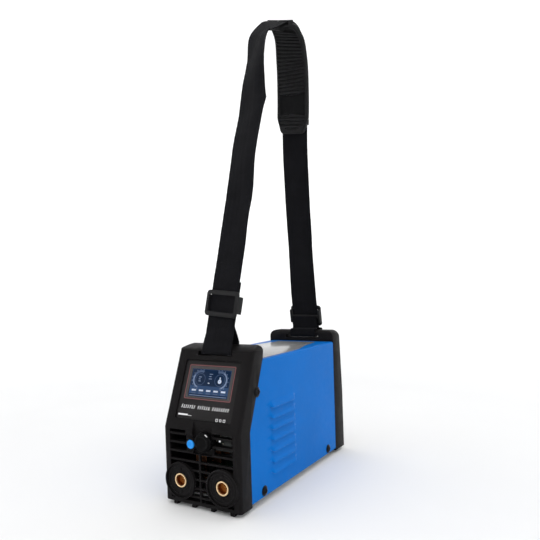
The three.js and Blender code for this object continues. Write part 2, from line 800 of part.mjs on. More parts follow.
// ---- wiring that stays inside the case ----
function wire(points, radius) {
  const route = new THREE.CatmullRomCurve3(points.map(([x, depth, z]) => new THREE.Vector3(x, at(depth), z)));
  const section = new THREE.Shape().absarc(0, 0, radius, 0, 2 * Math.PI);
  const options = { steps: 16, curveSegments: 2, bevelEnabled: false, extrudePath: route };
  return new THREE.ExtrudeGeometry(section, options);
}
const mainsRoute = [
  [-24, 228.6, 126],
  [-24, 224, 124],
  [-30, 218, 112],
  [-36, 215, 80],
  [-37, 212, 50],
  [-37, 211, 34],
  [-37, 211, 28.2],
];
add("mains_wires", wire(mainsRoute, 2.4), wireBrown);
const ribbonRoute = [
  [19.6, 84],
  [23, 78],
  [40, 56],
  [62, 44],
  [68.8, 34],
  [69, 28],
];
const ribbonStations = new THREE.CatmullRomCurve3(
  ribbonRoute.map(([depth, z]) => new THREE.Vector3(0, at(depth), z)),
)
  .getPoints(12)
  .map((place) => ({ place, across: new THREE.Vector3(1, 0, 0) }));
add("ribbon_cable", ribbon(squared(ribbonStations), 14, 0.9), ribbonGrey);

// ---- shoulder strap ----
// The direction of the webbing's width, turned about the upright axis and dipped to its +X side.
function widthDirection(turnDegrees, dipDegrees) {
  const turn = THREE.MathUtils.degToRad(turnDegrees);
  const dip = THREE.MathUtils.degToRad(dipDegrees);
  return [Math.cos(turn) * Math.cos(dip), -Math.sin(turn) * Math.cos(dip), -Math.sin(dip)];
}

function halfway(a, b) {
  return a.map((value, i) => (value + b[i]) / 2);
}

// Stations of the webbing's middle line: x, depth, z, and the turn and dip of its width in degrees.
const frontTurn = 6;
const frontStraight = [
  [0, 42.5, 187],
  [6, 51.5, 243],
];
const frontWidth = widthDirection(frontTurn, 0);
const rearStraight = [
  [5, 242.5, 215],
  [4, 251.5, 171.5],
];
const rearWidth = widthDirection(0, 0);
const strapLegs = [
  [...frontStraight[0], frontTurn, 0],
  [...halfway(...frontStraight), frontTurn, 0],
  [...frontStraight[1], frontTurn, 0],
  [9, 61, 285, 6, 0],
  [11, 72, 330, 9, 0],
  [12, 81, 380, 18, 0],
  [14, 100, 445, 18, 0],
  [15, 110, 500, 33, 0],
  [15, 126, 536, 40, 31],
  [24, 133, 545, 33, 33],
  [34, 150, 552, 26, 20],
  [35, 168, 543, 16, 17],
  [30, 184, 518, 9, 12],
  [25, 194, 475, 7, 7],
  [16, 207, 420, 5, 4],
  [10, 220, 355, 5, 0],
  [7, 232, 285, 6, 0],
  [...rearStraight[0], 0, 0],
  [...halfway(...rearStraight), 0, 0],
  [...rearStraight[1], 0, 0],
];

function curveStations(rows, count) {
  const places = new THREE.CatmullRomCurve3(rows.map(([x, depth, z]) => new THREE.Vector3(x, at(depth), z)));
  const widths = new THREE.CatmullRomCurve3(
    rows.map((row) => new THREE.Vector3(...widthDirection(row[3], row[4]))),
  );
  return Array.from({ length: count + 1 }, (unused, i) => ({
    place: places.getPoint(i / count),
    across: widths.getPoint(i / count).normalize(),
  }));
}

// Corner points of a loop, each corner turned into a short arc.
function cornered(rows, radius, width) {
  const corners = rows.map(([x, depth, z]) => new THREE.Vector3(x, at(depth), z));
  const stations = [];
  corners.forEach((corner, i) => {
    if (i === 0 || i === corners.length - 1) {
      stations.push(corner);
      return;
    }
    const reach = (other) => corner.clone().lerp(other, Math.min(radius / corner.distanceTo(other), 0.48));
    const bend = new THREE.QuadraticBezierCurve3(reach(corners[i - 1]), corner, reach(corners[i + 1]));
    stations.push(...bend.getPoints(3));
  });
  return stations.map((place) => {
    const share = THREE.MathUtils.clamp((place.z - 172) / 16, 0, 1);
    return { place, across: new THREE.Vector3(1, 0, 0).lerp(new THREE.Vector3(...width), share) };
  });
}

const legSteps = 5; // stations between two rows of strapLegs
const legStations = curveStations(strapLegs, legSteps * (strapLegs.length - 1));
const frontLoop = cornered(
  [
    [5.8, 52.9, 238],
    [0.6, 44.9, 190],
    [-2, 54.4, 171.5],
    [-2, 54.4, 160.2],
    [3, 30.2, 160.2],
    [3, 30.2, 163],
    [1.6, 40.6, 184.4],
  ],
  2.4,
  frontWidth,
);
const rearLoop = cornered(
  [
    [4, 262.3, 169.8],
    [4, 262.3, 160.2],
    [4, 237.6, 160.2],
    [4, 237.6, 170],
    [4, 245.6, 170.4],
    [4.1, 246.2, 174],
    [4.2, 243.5, 188],
  ],
  2.2,
  rearWidth,
);
const webbingFrames = squared([...frontLoop, ...legStations, ...rearLoop]);
add("strap_webbing", ribbon(webbingFrames, webbingWidth, webbingThickness), webbingBlack);

// A three-bar slider that runs along a straight stretch of webbing.
function slider(name, [low, high], share, width, bars) {
  const bottom = new THREE.Vector3(low[0], at(low[1]), low[2]);
  const top = new THREE.Vector3(high[0], at(high[1]), high[2]);
  const along = top.clone().sub(bottom).normalize();
  const across = new THREE.Vector3(...width);
  across.addScaledVector(along, -across.dot(along)).normalize();
  const inward = along.clone().cross(across);
  const frame = new THREE.Group();
  new THREE.Matrix4()
    .makeBasis(across, inward, along)
    .setPosition(bottom.clone().lerp(top, share))
    .decompose(frame.position, frame.quaternion, frame.scale);
  group.add(frame);
  const { outer, middle } = bars;
  const depths = [Math.min(...outer, ...middle), Math.max(...outer, ...middle)];
  const body = join(
    ...sides.map((side) => block(side > 0 ? [19.9, 23] : [-23, -19.9], depths, [-14.5, 14.5])),
    block([-23, 23], outer, [10.4, 14.5]),
    block([-23, 23], outer, [-14.5, -10.4]),
    block([-23, 23], middle, [-2.2, 2.2]),
  );
  const rounded = body.intersect(solid(prismY(roundedRect(-23, 23, -14.5, 14.5, 3), [-20, 20])));
  add(name, rounded, black, frame);
}
slider("strap_slider_front", frontStraight, 0.47, frontWidth, {
  outer: [-3.9, -1.3],
  middle: [3.3, 5.5],
});
slider("strap_slider_rear", [...rearStraight].reverse(), 0.38, rearWidth, {
  outer: [1.3, 3.9],
  middle: [-3.4, -1.3],
});

// Ribbed shoulder pad on the inner side of the loop.
const padRows = [9.2, 13.8]; // rows of strapLegs
const padWidth = 47;
const padThickness = 5;
const padStart = frontLoop.length + Math.round(legSteps * padRows[0]);
const padEnd = frontLoop.length + Math.round(legSteps * padRows[1]);
const padClearance = 2.4; // room for the webbing to bend behind the pad
const padLift = webbingThickness / 2 + padClearance + padThickness / 2;
const padFrames = webbingFrames.slice(padStart, padEnd + 1);
add("shoulder_pad", ribbon(padFrames, padWidth, padThickness, padLift), padRubber);

export default group;
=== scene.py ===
import json
from math import copysign, cos, exp, pi, radians, sin, sqrt

import bmesh
import bpy
from mathutils import Matrix, Vector, noise


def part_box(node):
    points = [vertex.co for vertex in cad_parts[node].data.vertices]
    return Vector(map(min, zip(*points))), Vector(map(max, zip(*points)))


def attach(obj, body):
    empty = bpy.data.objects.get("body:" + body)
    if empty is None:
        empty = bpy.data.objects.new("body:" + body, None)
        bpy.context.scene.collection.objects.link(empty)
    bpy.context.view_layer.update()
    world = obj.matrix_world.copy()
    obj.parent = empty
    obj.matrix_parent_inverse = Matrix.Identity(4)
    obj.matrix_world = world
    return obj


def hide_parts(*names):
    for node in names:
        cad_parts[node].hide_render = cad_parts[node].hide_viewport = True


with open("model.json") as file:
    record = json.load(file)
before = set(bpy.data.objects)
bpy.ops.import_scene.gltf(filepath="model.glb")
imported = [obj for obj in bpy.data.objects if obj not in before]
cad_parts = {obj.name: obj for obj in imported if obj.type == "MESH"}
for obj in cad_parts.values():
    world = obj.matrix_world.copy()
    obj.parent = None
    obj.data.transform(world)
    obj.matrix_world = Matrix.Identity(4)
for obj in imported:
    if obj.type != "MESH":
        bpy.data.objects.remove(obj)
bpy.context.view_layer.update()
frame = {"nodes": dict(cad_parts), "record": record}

# Shapes are written in millimetres, in the frame of the CAD model, and become metres in piece().
MM = 0.001
RINGS_PROUD = 2.6  # how far the bezel's socket rings stand out of its lower front face, which is at FRONT_Y
FRONT_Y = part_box("front_bezel")[0].y / MM + RINGS_PROUD
KNEE_Z = 83  # height where the front starts to lean back
LEAN = radians(22)


def at(depth):
    """Y of a distance back from the lower front face."""
    return FRONT_Y + depth


# ---- camera
CAMERA_PLACE = (343.3, -576.0, 230.2)
CAMERA_ANGLES = (88.46, 1.84, 31.84)  # degrees: up from straight down, sideways, about Z
CAMERA_LENS, CAMERA_SENSOR, CAMERA_NEAREST = 36.1, 36, 10  # millimetres
CAMERA_SHIFT = (0.037, 0.06)


def new_object(name, data):
    obj = bpy.data.objects.new(name, data)
    bpy.context.scene.collection.objects.link(obj)
    return obj


def make_camera():
    data = bpy.data.cameras.new("photo_camera")
    camera = new_object("photo_camera", data)
    camera.location = Vector(CAMERA_PLACE) * MM
    camera.rotation_euler = [radians(angle) for angle in CAMERA_ANGLES]
    data.sensor_width = CAMERA_SENSOR
    data.lens = CAMERA_LENS
    data.shift_x, data.shift_y = CAMERA_SHIFT
    data.clip_start = CAMERA_NEAREST * MM
    bpy.context.scene.camera = camera


make_camera()


# ---- material helpers
looks = {}


class Look:
    """A Principled material whose inputs come from textures in object space or in a piece's UVs."""

    def __init__(self, name, colour, roughness, metallic=0.0, **fixed):
        self.material = looks[name] = bpy.data.materials.new(name)
        self.material.use_nodes = True
        self.material.diffuse_color = (*colour, 1)
        self.tree = self.material.node_tree
        self.shader = self.tree.nodes["Principled BSDF"]
        fixed.update(Base_Color=(*colour, 1), Roughness=roughness, Metallic=metallic)
        for socket, value in fixed.items():
            self.shader.inputs[socket.replace("_", " ")].default_value = value
        self.coordinates = self.tree.nodes.new("ShaderNodeTexCoord")
        self.place = self.coordinates.outputs["Object"]

    def node(self, kind, settings=None, **inputs):
        """A new node; its inputs go by name, or by i and their number, and take values or links."""
        made = self.tree.nodes.new(kind)
        for key, value in (settings or {}).items():
            setattr(made, key, value)
        for key, value in inputs.items():
            socket = made.inputs[int(key[1:]) if key[1:].isdigit() else key]
            if isinstance(value, bpy.types.NodeSocket):
                self.tree.links.new(value, socket)
            else:
                socket.default_value = value
        return made

    def math(self, operation, a, b=0.0):
        return self.node("ShaderNodeMath", {"operation": operation}, i0=a, i1=b).outputs[0]

    def wave(self, value, pitch):
        return self.math("SINE", self.math("MULTIPLY", value, 2 * pi / pitch))

    def noise(self, scale, detail, stretch=None):
        vector = self.place
        if stretch:
            vector = self.node("ShaderNodeMapping", i0=vector, i3=stretch).outputs[0]
        return self.node("ShaderNodeTexNoise", Vector=vector, Scale=scale, Detail=detail,
                         Roughness=0.55).outputs["Fac"]

    def cells(self, scale):
        return self.node("ShaderNodeTexVoronoi", Vector=self.place, Scale=scale).outputs["Distance"]

    def between(self, value, low, high, to_low=0.0, to_high=1.0):
        """The value's way from low to high as a way from to_low to to_high, clamped."""
        return self.node("ShaderNodeMapRange", {"clamp": True}, i0=value, i1=low, i2=high, i3=to_low,
                         i4=to_high).outputs[0]

    def patches(self, scale, detail, to_low=0.0, to_high=1.0, low=0.3, high=0.7, stretch=None):
        """Noise spread out to run from to_low to to_high."""
        return self.between(self.noise(scale, detail, stretch), low, high, to_low, to_high)

    def mix(self, factor, a, b):
        a, b = (value if isinstance(value, bpy.types.NodeSocket) else (*value, 1) for value in (a, b))
        return self.node("ShaderNodeMix", {"data_type": "RGBA"}, i0=factor, i6=a, i7=b).outputs[2]

    def scaled(self, colour, factor):
        return self.node("ShaderNodeVectorMath", {"operation": "SCALE"}, i0=colour, Scale=factor).outputs[0]

    def set(self, socket, value):
        self.tree.links.new(value, self.shader.inputs[socket])

    def bump(self, height, distance):
        made = self.node("ShaderNodeBump", Strength=1.0, Distance=distance, Height=height)
        previous = self.shader.inputs["Normal"].links
        if previous:
            self.tree.links.new(previous[0].from_socket, made.inputs["Normal"])
        self.set("Normal", made.outputs[0])

    def edges(self, radius):
        """0 on open faces, 1 along convex and concave edges."""
        rounded = self.node("ShaderNodeBevel", {"samples": 4}, Radius=radius).outputs[0]
        plain = self.node("ShaderNodeNewGeometry").outputs["Normal"]
        dot = self.node("ShaderNodeVectorMath", {"operation": "DOT_PRODUCT"}, i0=rounded, i1=plain)
        return self.between(self.math("SUBTRACT", 1.0, dot.outputs["Value"]), 0.02, 0.25)


def shade(colour, factor):
    return tuple(min(1.0, channel * factor) for channel in colour)


def moulded(name, colour, roughness, grain=1700.0, depth=0.00004, specular=0.07, wear_and_highlight=3.0):
    """Moulded plastic: spark-eroded grain, faint flow marks, edges polished by handling and painted lighter
    in patches, partly handling wear and partly a painted highlight.
    """
    look = Look(name, colour, roughness, Specular_IOR_Level=specular)
    tone = look.mix(look.patches(28.0, 4.0), shade(colour, 0.88), shade(colour, 1.14))
    # Edges painted lighter in patches: partly handling wear, partly a painted highlight.
    worn_and_highlit = look.math("MULTIPLY", look.edges(0.0007), look.patches(160.0, 5.0, 0.15, 1.0, low=0.5))
    look.set("Base Color", look.mix(worn_and_highlit, tone, shade(colour, wear_and_highlight)))
    rough = look.patches(90.0, 3.0, roughness - 0.05, roughness + 0.06)
    look.set("Roughness", look.math("SUBTRACT", rough, look.math("MULTIPLY", worn_and_highlit, 0.14)))
    pits = look.math("MULTIPLY", look.cells(grain * 0.55), 0.6)
    look.bump(look.math("ADD", look.noise(grain, 2.0), pits), depth)


def painted(name, colour, roughness):
    """Powder coat: orange peel, fine flecks, a clear surface and edges painted lighter in patches, partly
    rubbed wear and partly a painted highlight.
    """
    look = Look(name, colour, roughness, Coat_Weight=0.01, Coat_Roughness=0.2, Specular_IOR_Level=0.04)
    tone = look.mix(look.patches(9.0, 3.0), shade(colour, 0.93), shade(colour, 1.06))
    fleck = look.patches(5200.0, 1.0, 0.0, 0.35, low=0.62)
    tone = look.mix(fleck, tone, shade(colour, 0.8))
    # Edges painted lighter in patches: partly rubbed wear, partly a painted highlight.
    rubbed_and_highlit = look.math("MULTIPLY", look.edges(0.0006), look.patches(220.0, 4.0, 0.0, 0.8, low=0.45))
    look.set("Base Color", look.mix(rubbed_and_highlit, tone, tuple(0.35 + 0.45 * channel for channel in colour)))
    look.set("Roughness", look.patches(140.0, 3.0, roughness - 0.05, roughness + 0.07))
    look.bump(look.noise(620.0, 2.0), 0.00009)
    look.bump(look.noise(3000.0, 1.0), 0.00002)


ALONG_Y = (1.0, 14.0, 1.0)


def metal(name, colour, roughness, grain=ALONG_Y, scale=900.0, depth=0.00002):
    """Drawn, cut or plated metal: fine lines along one direction, darker and duller patches."""
    look = Look(name, colour, roughness, 1.0)
    lines = look.noise(scale, 3.0, grain)
    patches = look.patches(70.0, 4.0, low=0.42, high=0.68)
    look.set("Base Color", look.mix(patches, colour, shade(colour, 0.75)))
    rough = look.between(lines, 0.3, 0.7, roughness - 0.06, roughness + 0.08)
    look.set("Roughness", look.math("ADD", rough, look.math("MULTIPLY", patches, 0.12)))
    look.bump(lines, depth)


def turned_metal(name, colour, centre, deep):
    """Metal turned on a lathe: rings about the Y axis through centre, with painted shade making it darker
    where deep inside.
    """
    look = Look(name, colour, 0.3, 1.0)
    split = look.node("ShaderNodeSeparateXYZ", i0=look.place).outputs
    x = look.math("SUBTRACT", split[0], centre[0] * MM)
    z = look.math("SUBTRACT", split[2], centre[1] * MM)
    radius = look.math("SQRT", look.math("ADD", look.math("MULTIPLY", x, x), look.math("MULTIPLY", z, z)))
    tone = look.mix(look.patches(300.0, 4.0, low=0.4), colour, shade(colour, 0.78))
    # Painted shade: the colour turns to deep from just proud of the front face to 1.6 mm behind it.
    depth = look.between(split[1], at(-0.9) * MM, at(1.6) * MM)
    look.set("Base Color", look.mix(depth, tone, deep))
    look.set("Roughness", look.patches(900.0, 2.0, 0.25, 0.4))
    look.bump(look.wave(radius, 0.00035), 0.000012)


def woven(name, colour):
    """Heavy polypropylene webbing: chevron ribs along the UVs, which are in metres, and loose fibres, with
    painted light on the raised weave and painted shade in its grooves.
    """
    look = Look(name, colour, 0.78, Specular_IOR_Level=0.05, Sheen_Weight=0.02, Sheen_Roughness=0.5)
    across, along, _ = look.node("ShaderNodeSeparateXYZ", i0=look.coordinates.outputs["UV"]).outputs
    fold = look.math("PINGPONG", across, 0.0032)
    chevron = look.math("ADD", along, look.math("MULTIPLY", fold, 0.0017 / 0.0022))
    warp = look.wave(across, 0.0011)
    fibres = look.noise(2600.0, 2.0)
    height = look.math("ADD", look.math("MULTIPLY", look.wave(chevron, 0.0017), 0.5),
                       look.math("MULTIPLY", warp, 0.22))
    height = look.math("ADD", height, look.math("MULTIPLY", fibres, 0.8))
    # Painted light and shade: lighter where the weave and its fibres stand high, darker where they lie low.
    tone = look.mix(look.between(height, -0.5, 1.1), shade(colour, 0.55), shade(colour, 1.5))
    selvedge = look.between(look.math("ABSOLUTE", across), 0.0172, 0.0179, 0.0, 0.45)
    tone = look.mix(selvedge, tone, shade(colour, 0.5))
    look.set("Base Color", look.scaled(tone, look.patches(60.0, 4.0, 0.85, 1.15)))
    look.set("Roughness", look.between(fibres, 0.3, 0.7, 0.66, 0.84))
    look.bump(height, 0.00022)


def rubber(name, colour, roughness):
    """Soft moulded rubber: matt skin, patchy tone, and a painted highlight that lightens every edge, the high
    ribs and the hollows alike.
    """
    look = Look(name, colour, roughness, Specular_IOR_Level=0.12, Sheen_Weight=0.02)
    tone = look.mix(look.patches(45.0, 5.0, low=0.35, high=0.75), shade(colour, 0.8), shade(colour, 1.2))
    # Painted highlight: one mask lightens convex and concave edges alike.
    look.set("Base Color", look.mix(look.edges(0.0011), tone, shade(colour, 2.3)))
    look.set("Roughness", look.patches(260.0, 3.0, roughness - 0.06, roughness + 0.08))
    look.bump(look.noise(1900.0, 3.0), 0.00005)


def glossy(name, colour, roughness, **fixed):
    """Screen glass and lamp lenses: smooth, with faint smears and dust."""
    look = Look(name, colour, roughness, Coat_Weight=0.03, Coat_Roughness=0.08, **fixed)
    smears = look.patches(55.0, 5.0, low=0.4, stretch=(1.0, 1.0, 3.0))
    look.set("Roughness", look.between(smears, 0.0, 1.0, roughness, roughness + 0.12))
    look.set("Base Color", look.mix(smears, colour, shade(colour, 1.12)))
    look.bump(look.noise(700.0, 1.0), 0.000004)


def film(name, colour, roughness):
    """Printed silver film: brushed grain and a satin clear layer."""
    look = Look(name, colour, roughness, 0.3, Coat_Weight=0.3, Coat_Roughness=0.08)
    brushed = look.noise(420.0, 3.0, (0.6, 12.0, 1.0))
    look.set("Base Color", look.mix(look.between(brushed, 0.3, 0.7), shade(colour, 0.86), shade(colour, 1.1)))
    look.set("Roughness", look.between(brushed, 0.3, 0.7, roughness - 0.08, roughness + 0.08))
    look.bump(brushed, 0.00001)


def board(name, colour):
    """Printed circuit board: solder mask over tracks, with pads."""
    look = Look(name, colour, 0.35, Specular_IOR_Level=0.5)
    tracks = look.node("ShaderNodeTexBrick", Vector=look.place, Scale=130.0, i1=(0, 0, 0, 1),
                       i2=(1, 1, 1, 1)).outputs[1]
    pads = look.between(look.cells(260.0), 0.12, 0.16, 1.0, 0.0)
    tone = look.mix(tracks, colour, shade(colour, 1.6))
    look.set("Base Color", look.mix(pads, tone, (0.55, 0.5, 0.4)))
    look.bump(tracks, 0.00003)


def lit(name, colour, strength):
    """A mark on a lit display, its light a little uneven."""
    look = Look(name, colour, 0.25, Specular_IOR_Level=0.2)
    tone = look.scaled(colour, look.patches(90.0, 3.0, 0.75, 1.0))
    look.set("Base Color", tone)
    look.set("Emission Color", tone)
    look.shader.inputs["Emission Strength"].default_value = strength


# ---- looks
moulded("moulded_black", (0.0069, 0.0062, 0.0066), 0.5)
moulded("knob_black", (0.0026, 0.0026, 0.0029), 0.36, depth=0.00002, specular=0.05)
moulded("panel_label", (0.0092, 0.0083, 0.0086), 0.42, depth=0.00001, specular=0.16)
moulded("component_black", (0.012, 0.012, 0.013), 0.5)
moulded("capacitor_sleeve", (0.012, 0.02, 0.06), 0.3, specular=0.5)
moulded("ferrite", (0.045, 0.046, 0.05), 0.75, grain=900.0, depth=0.00008)
moulded("button_blue", (0.006, 0.27, 0.80), 0.28, depth=0.00001, specular=0.3, wear_and_highlight=1.2)
moulded("rocker_red", (0.30, 0.012, 0.010), 0.3, depth=0.00001, specular=0.3, wear_and_highlight=1.2)
moulded("fan_plastic", (0.012, 0.012, 0.012), 0.42)
moulded("slider_black", (0.0092, 0.0092, 0.0100), 0.42, depth=0.00002, specular=0.15)
for name, colour, roughness in (
    ("label_white", (0.80, 0.80, 0.81), 0.45),
    ("label_red", (0.120, 0.038, 0.040), 0.4),
    ("label_grey", (0.034, 0.030, 0.032), 0.4),
    ("label_print", (0.27, 0.27, 0.275), 0.4),
):
    moulded(name, colour, roughness, depth=0.000005, specular=0.4, wear_and_highlight=1.0)
painted("cover_blue", (0.0008, 0.134, 0.49), 0.36)
# The cover's inside is painted near black, a painted shade for the inside of the case.
painted("cover_inside", (0.0035, 0.0040, 0.0060), 0.6)
board("board_dark", (0.004, 0.006, 0.005))
board("circuit_board", (0.008, 0.032, 0.018))
metal("blackened_zinc", (0.035, 0.035, 0.036), 0.5)
metal("zinc_plate", (0.56, 0.57, 0.58), 0.38)
metal("black_steel", (0.020, 0.020, 0.021), 0.36, (1.0, 1.0, 1.0), 2400.0, 0.00003)
metal("busbar_copper", (0.30, 0.13, 0.07), 0.42)
metal("heatsink_aluminium", (0.6, 0.61, 0.62), 0.4, (1.0, 12.0, 1.0))
metal("enamelled_wire", (0.20, 0.075, 0.03), 0.3, (1.0, 1.0, 24.0), 700.0, 0.00025)
film("silver_label", (0.31, 0.31, 0.31), 0.3)
glossy("screen", (0.0030, 0.014, 0.042), 0.14, Specular_IOR_Level=0.08)
glossy("lamp_lens", (0.80, 0.82, 0.84), 0.12)
rubber("wire_sheath", (0.10, 0.042, 0.018), 0.5)
rubber("ribbon", (0.055, 0.057, 0.062), 0.5)
rubber("pad_fabric", (0.0036, 0.0036, 0.0042), 0.8)
rubber("pad_rubber", (0.0098, 0.0098, 0.0106), 0.6)
woven("webbing", (0.0047, 0.0048, 0.0062))
lit("screen_dim", (0.036, 0.062, 0.125), 0.35)
lit("screen_lit", (0.12, 0.165, 0.26), 0.4)
lit("screen_white", (0.42, 0.48, 0.60), 0.3)
lit("screen_field", (0.011, 0.036, 0.095), 0.4)
lit("lamp_lit", (0.85, 0.86, 0.88), 0.2)
SOCKET_PLACES = {"negative": (-27.0, 27.5), "positive": (27.0, 27.5)}  # x and z
EARTH_PLACE = (0.0, 112.0)
for side, centre in SOCKET_PLACES.items():
    # The last colour is the painted shade deep inside each socket.
    turned_metal("socket_brass_" + side, (0.90, 0.66, 0.39), centre, (0.26, 0.10, 0.022))
# The earth screw sits behind the whole depth range, so its second colour is its own colour all over.
turned_metal("socket_brass_earth", (0.56, 0.40, 0.20), EARTH_PLACE, (0.4, 0.28, 0.12))


# ---- mesh helpers
def smoothing(limit):
    """Geometry nodes that shade smooth and keep edges sharper than limit, in degrees, sharp."""
    name = f"shade_smooth_{limit:g}"
    if name in bpy.data.node_groups:
        return bpy.data.node_groups[name]
    group = bpy.data.node_groups.new(name, "GeometryNodeTree")
    for direction in ("INPUT", "OUTPUT"):
        group.interface.new_socket("Geometry", in_out=direction, socket_type="NodeSocketGeometry")
    start, end, faces, edges, angle, sharper = (group.nodes.new(kind) for kind in (
        "NodeGroupInput", "NodeGroupOutput", "GeometryNodeSetShadeSmooth", "GeometryNodeSetShadeSmooth",
        "GeometryNodeInputMeshEdgeAngle", "FunctionNodeCompare"))
    faces.domain, edges.domain = "FACE", "EDGE"
    edges.inputs["Shade Smooth"].default_value = False
    sharper.operation = "GREATER_THAN"
    sharper.inputs["B"].default_value = radians(limit)
    for source, target in (
        (start.outputs[0], faces.inputs["Geometry"]),
        (faces.outputs[0], edges.inputs["Geometry"]),
        (angle.outputs["Unsigned Angle"], sharper.inputs["A"]),
        (sharper.outputs[0], edges.inputs["Selection"]),
        (edges.outputs[0], end.inputs[0]),
    ):
        group.links.new(source, target)
    return group


def smooth(obj, limit):
    obj.modifiers.new("smooth", "NODES").node_group = smoothing(limit)


def soften(obj, width):
    """Rounds the edges of a CAD node with modifiers alone."""
    obj.modifiers.new("weld", "WELD").merge_threshold = 0.01 * MM
    flat = obj.modifiers.new("planar", "DECIMATE")
    flat.decimate_type = "DISSOLVE"
    flat.angle_limit = radians(1.0)
    bevel = obj.modifiers.new("bevel", "BEVEL")
    bevel.width = width * MM
    bevel.segments = 2
    bevel.limit_method = "ANGLE"
    bevel.angle_limit = radians(28.0)
    bevel.use_clamp_overlap = True
    bevel.harden_normals = False
    smooth(obj, 32.0)


def polar(radius, angle):
    return radius * cos(angle), radius * sin(angle)


def circle(place, radius, height, sides, start=0.0):
    """Points about the local Z axis."""
    return [place @ Vector((*polar(radius, 2 * pi * j / sides + start), height)) for j in range(sides)]


def level(outline, place, height, inset=0.0, middle=(0.0, 0.0)):
    """An outline at a local height, each point drawn towards the middle by inset along x and y."""
    ring = []
    for point in outline:
        x, y = (p - copysign(min(inset, abs(p - m)), p - m) for p, m in zip(point, middle))
        ring.append(place @ Vector((x, y, height)))
    return ring


class Shape:
    """Vertices, faces and UVs in millimetres, gathered before they become one mesh."""

    def __init__(self):
        self.verts, self.faces, self.spots = [], [], []

    def add(self, verts, faces, spots=None):
        base = len(self.verts)
        self.verts.extend(Vector(v) for v in verts)
        self.faces.extend([base + i for i in face] for face in faces)
        self.spots.extend(spots or [(0.0, 0.0)] * len(verts))

    def skin(self, rings, closed=False, caps=True, spots=()):
        """Faces between rings of equal length; the caps close the first and the last ring."""
        count, total = len(rings[0]), len(rings)
        faces = []
        for i in range(total if closed else total - 1):
            low, high = i * count, (i + 1) % total * count
            for j in range(count):
                k = (j + 1) % count
                faces.append((low + j, low + k, high + k, high + j))
        if caps and not closed:
            faces.append(tuple(reversed(range(count))))
            faces.append(tuple(range((total - 1) * count, total * count)))
        self.add([v for ring in rings for v in ring], faces, [spot for ring in spots for spot in ring])

    def turn(self, profile, place, sides=64, scale=None, closed=False):
        """A profile of (radius, height) about the local Z axis; scale(angle, radius, height) shapes it."""
        rings = []
        for radius, height in profile:
            ring = []
            for j in range(sides):
                angle = 2 * pi * j / sides
                reach = radius * scale(angle, radius, height) if scale else radius
                ring.append(place @ Vector((*polar(reach, angle), height)))
            rings.append(ring)
        self.skin(rings, closed)

    def slab(self, outline, low, high, place, edge=0.0, steps=3):
        """An outline of (x, y) extruded between two heights, with its upper edge rounded by edge."""
        middle = [sum(values) / len(outline) for values in zip(*outline)]
        rings = [level(outline, place, low)]
        for k in range(steps + 1 if edge else 1):
            turn = 0.5 * pi * k / steps
            rise = high - edge * (1 - sin(turn))
            rings.append(level(outline, place, rise, edge * (1 - cos(turn)), middle))
        self.skin(rings)

    def tube(self, points, radius, sides=12, closed=False):
        """A round wire along points."""
        rings = []
        last = len(points) - 1
        for i, point in enumerate(points):
            before = points[i - 1] if closed or i else points[0]
            after = points[i + 1] if i < last else points[0 if closed else last]
            along = (after - before).normalized()
            side = along.cross(Vector((0, 0, 1) if abs(along.z) < 0.9 else (1, 0, 0))).normalized()
            axes = Matrix((side, side.cross(along), along)).transposed().to_4x4()
            rings.append(circle(Matrix.Translation(point) @ axes, radius, 0.0, sides))
        self.skin(rings, closed)


def rounded(x0, x1, y0, y1, radius, steps=6):
    """Outline of a rounded rectangle, anticlockwise."""
    left, right, low, high = x0 + radius, x1 - radius, y0 + radius, y1 - radius
    outline = []
    for quarter, (x, y) in enumerate(((right, high), (left, high), (left, low), (right, low))):
        for k in range(steps + 1):
            dx, dy = polar(radius, 0.5 * pi * (quarter + k / steps))
            outline.append((x + dx, y + dy))
    return outline


def place(x, y, z, right, up):
    """Local frame at a point: x right, y up, z outward."""
    right, up = Vector(right).normalized(), Vector(up).normalized()
    return Matrix.Translation((x, y, z)) @ Matrix((right, up, right.cross(up))).transposed().to_4x4()


def on_front(x, z):
    return place(x, at(0.0), z, (1, 0, 0), (0, 0, 1))


def on_rear(x, z, depth):
    return place(x, at(depth), z, (-1, 0, 0), (0, 0, 1))


def on_side(side, depth, z, x):
    return place(x, at(depth), z, (0, side, 0), (0, 0, 1))


SLOPE = place(0, FRONT_Y, KNEE_Z, (1, 0, 0), (0, sin(LEAN), cos(LEAN)))


def piece(name, shape, look, replaces=(), body="chassis", limit=32.0):
    """Turns a shape into a mesh object that rides on a body, with the look's material in its one slot."""
    mesh = bpy.data.meshes.new(name)
    mesh.from_pydata([v * MM for v in shape.verts], [], shape.faces)
    layer = mesh.uv_layers.new(name="UVMap")
    for loop in mesh.loops:
        layer.data[loop.index].uv = shape.spots[loop.vertex_index]
    work = bmesh.new()
    work.from_mesh(mesh)
    bmesh.ops.recalc_face_normals(work, faces=work.faces)
    work.to_mesh(mesh)
    work.free()
    mesh.materials.append(looks[look])
    obj = new_object(name, mesh)
    smooth(obj, limit)
    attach(obj, body)
    if replaces:
        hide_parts(*replaces)
    return obj


# ---- CAD nodes that stay
PLAIN_BEVEL = 0.15
BEVELS = {  # edge rounding in millimetres of the nodes that differ
    "front_bezel": 0.7, "rear_bezel": 0.7, "cover": 0.35, "base_tray": 0.25, "top_label": 0.1,
    "lcd_window": 0.2, "fan_frame": 0.4, "heatsink_left": 0.2, "heatsink_right": 0.2,
}
for row in frame["record"]["subparts"]:
    name = row["node"]
    node = frame["nodes"][name]
    slot = row["material_slot"]
    if slot == "socket_brass":
        slot = "socket_brass_" + name.split("_")[-1].replace("screw", "earth")
    elif name == "key_board":
        slot = "board_dark"
    elif name.startswith("encoder"):
        slot = "blackened_zinc"
    node.data.materials.clear()
    node.data.materials.append(looks[slot])
    soften(node, BEVELS.get(name, PLAIN_BEVEL))


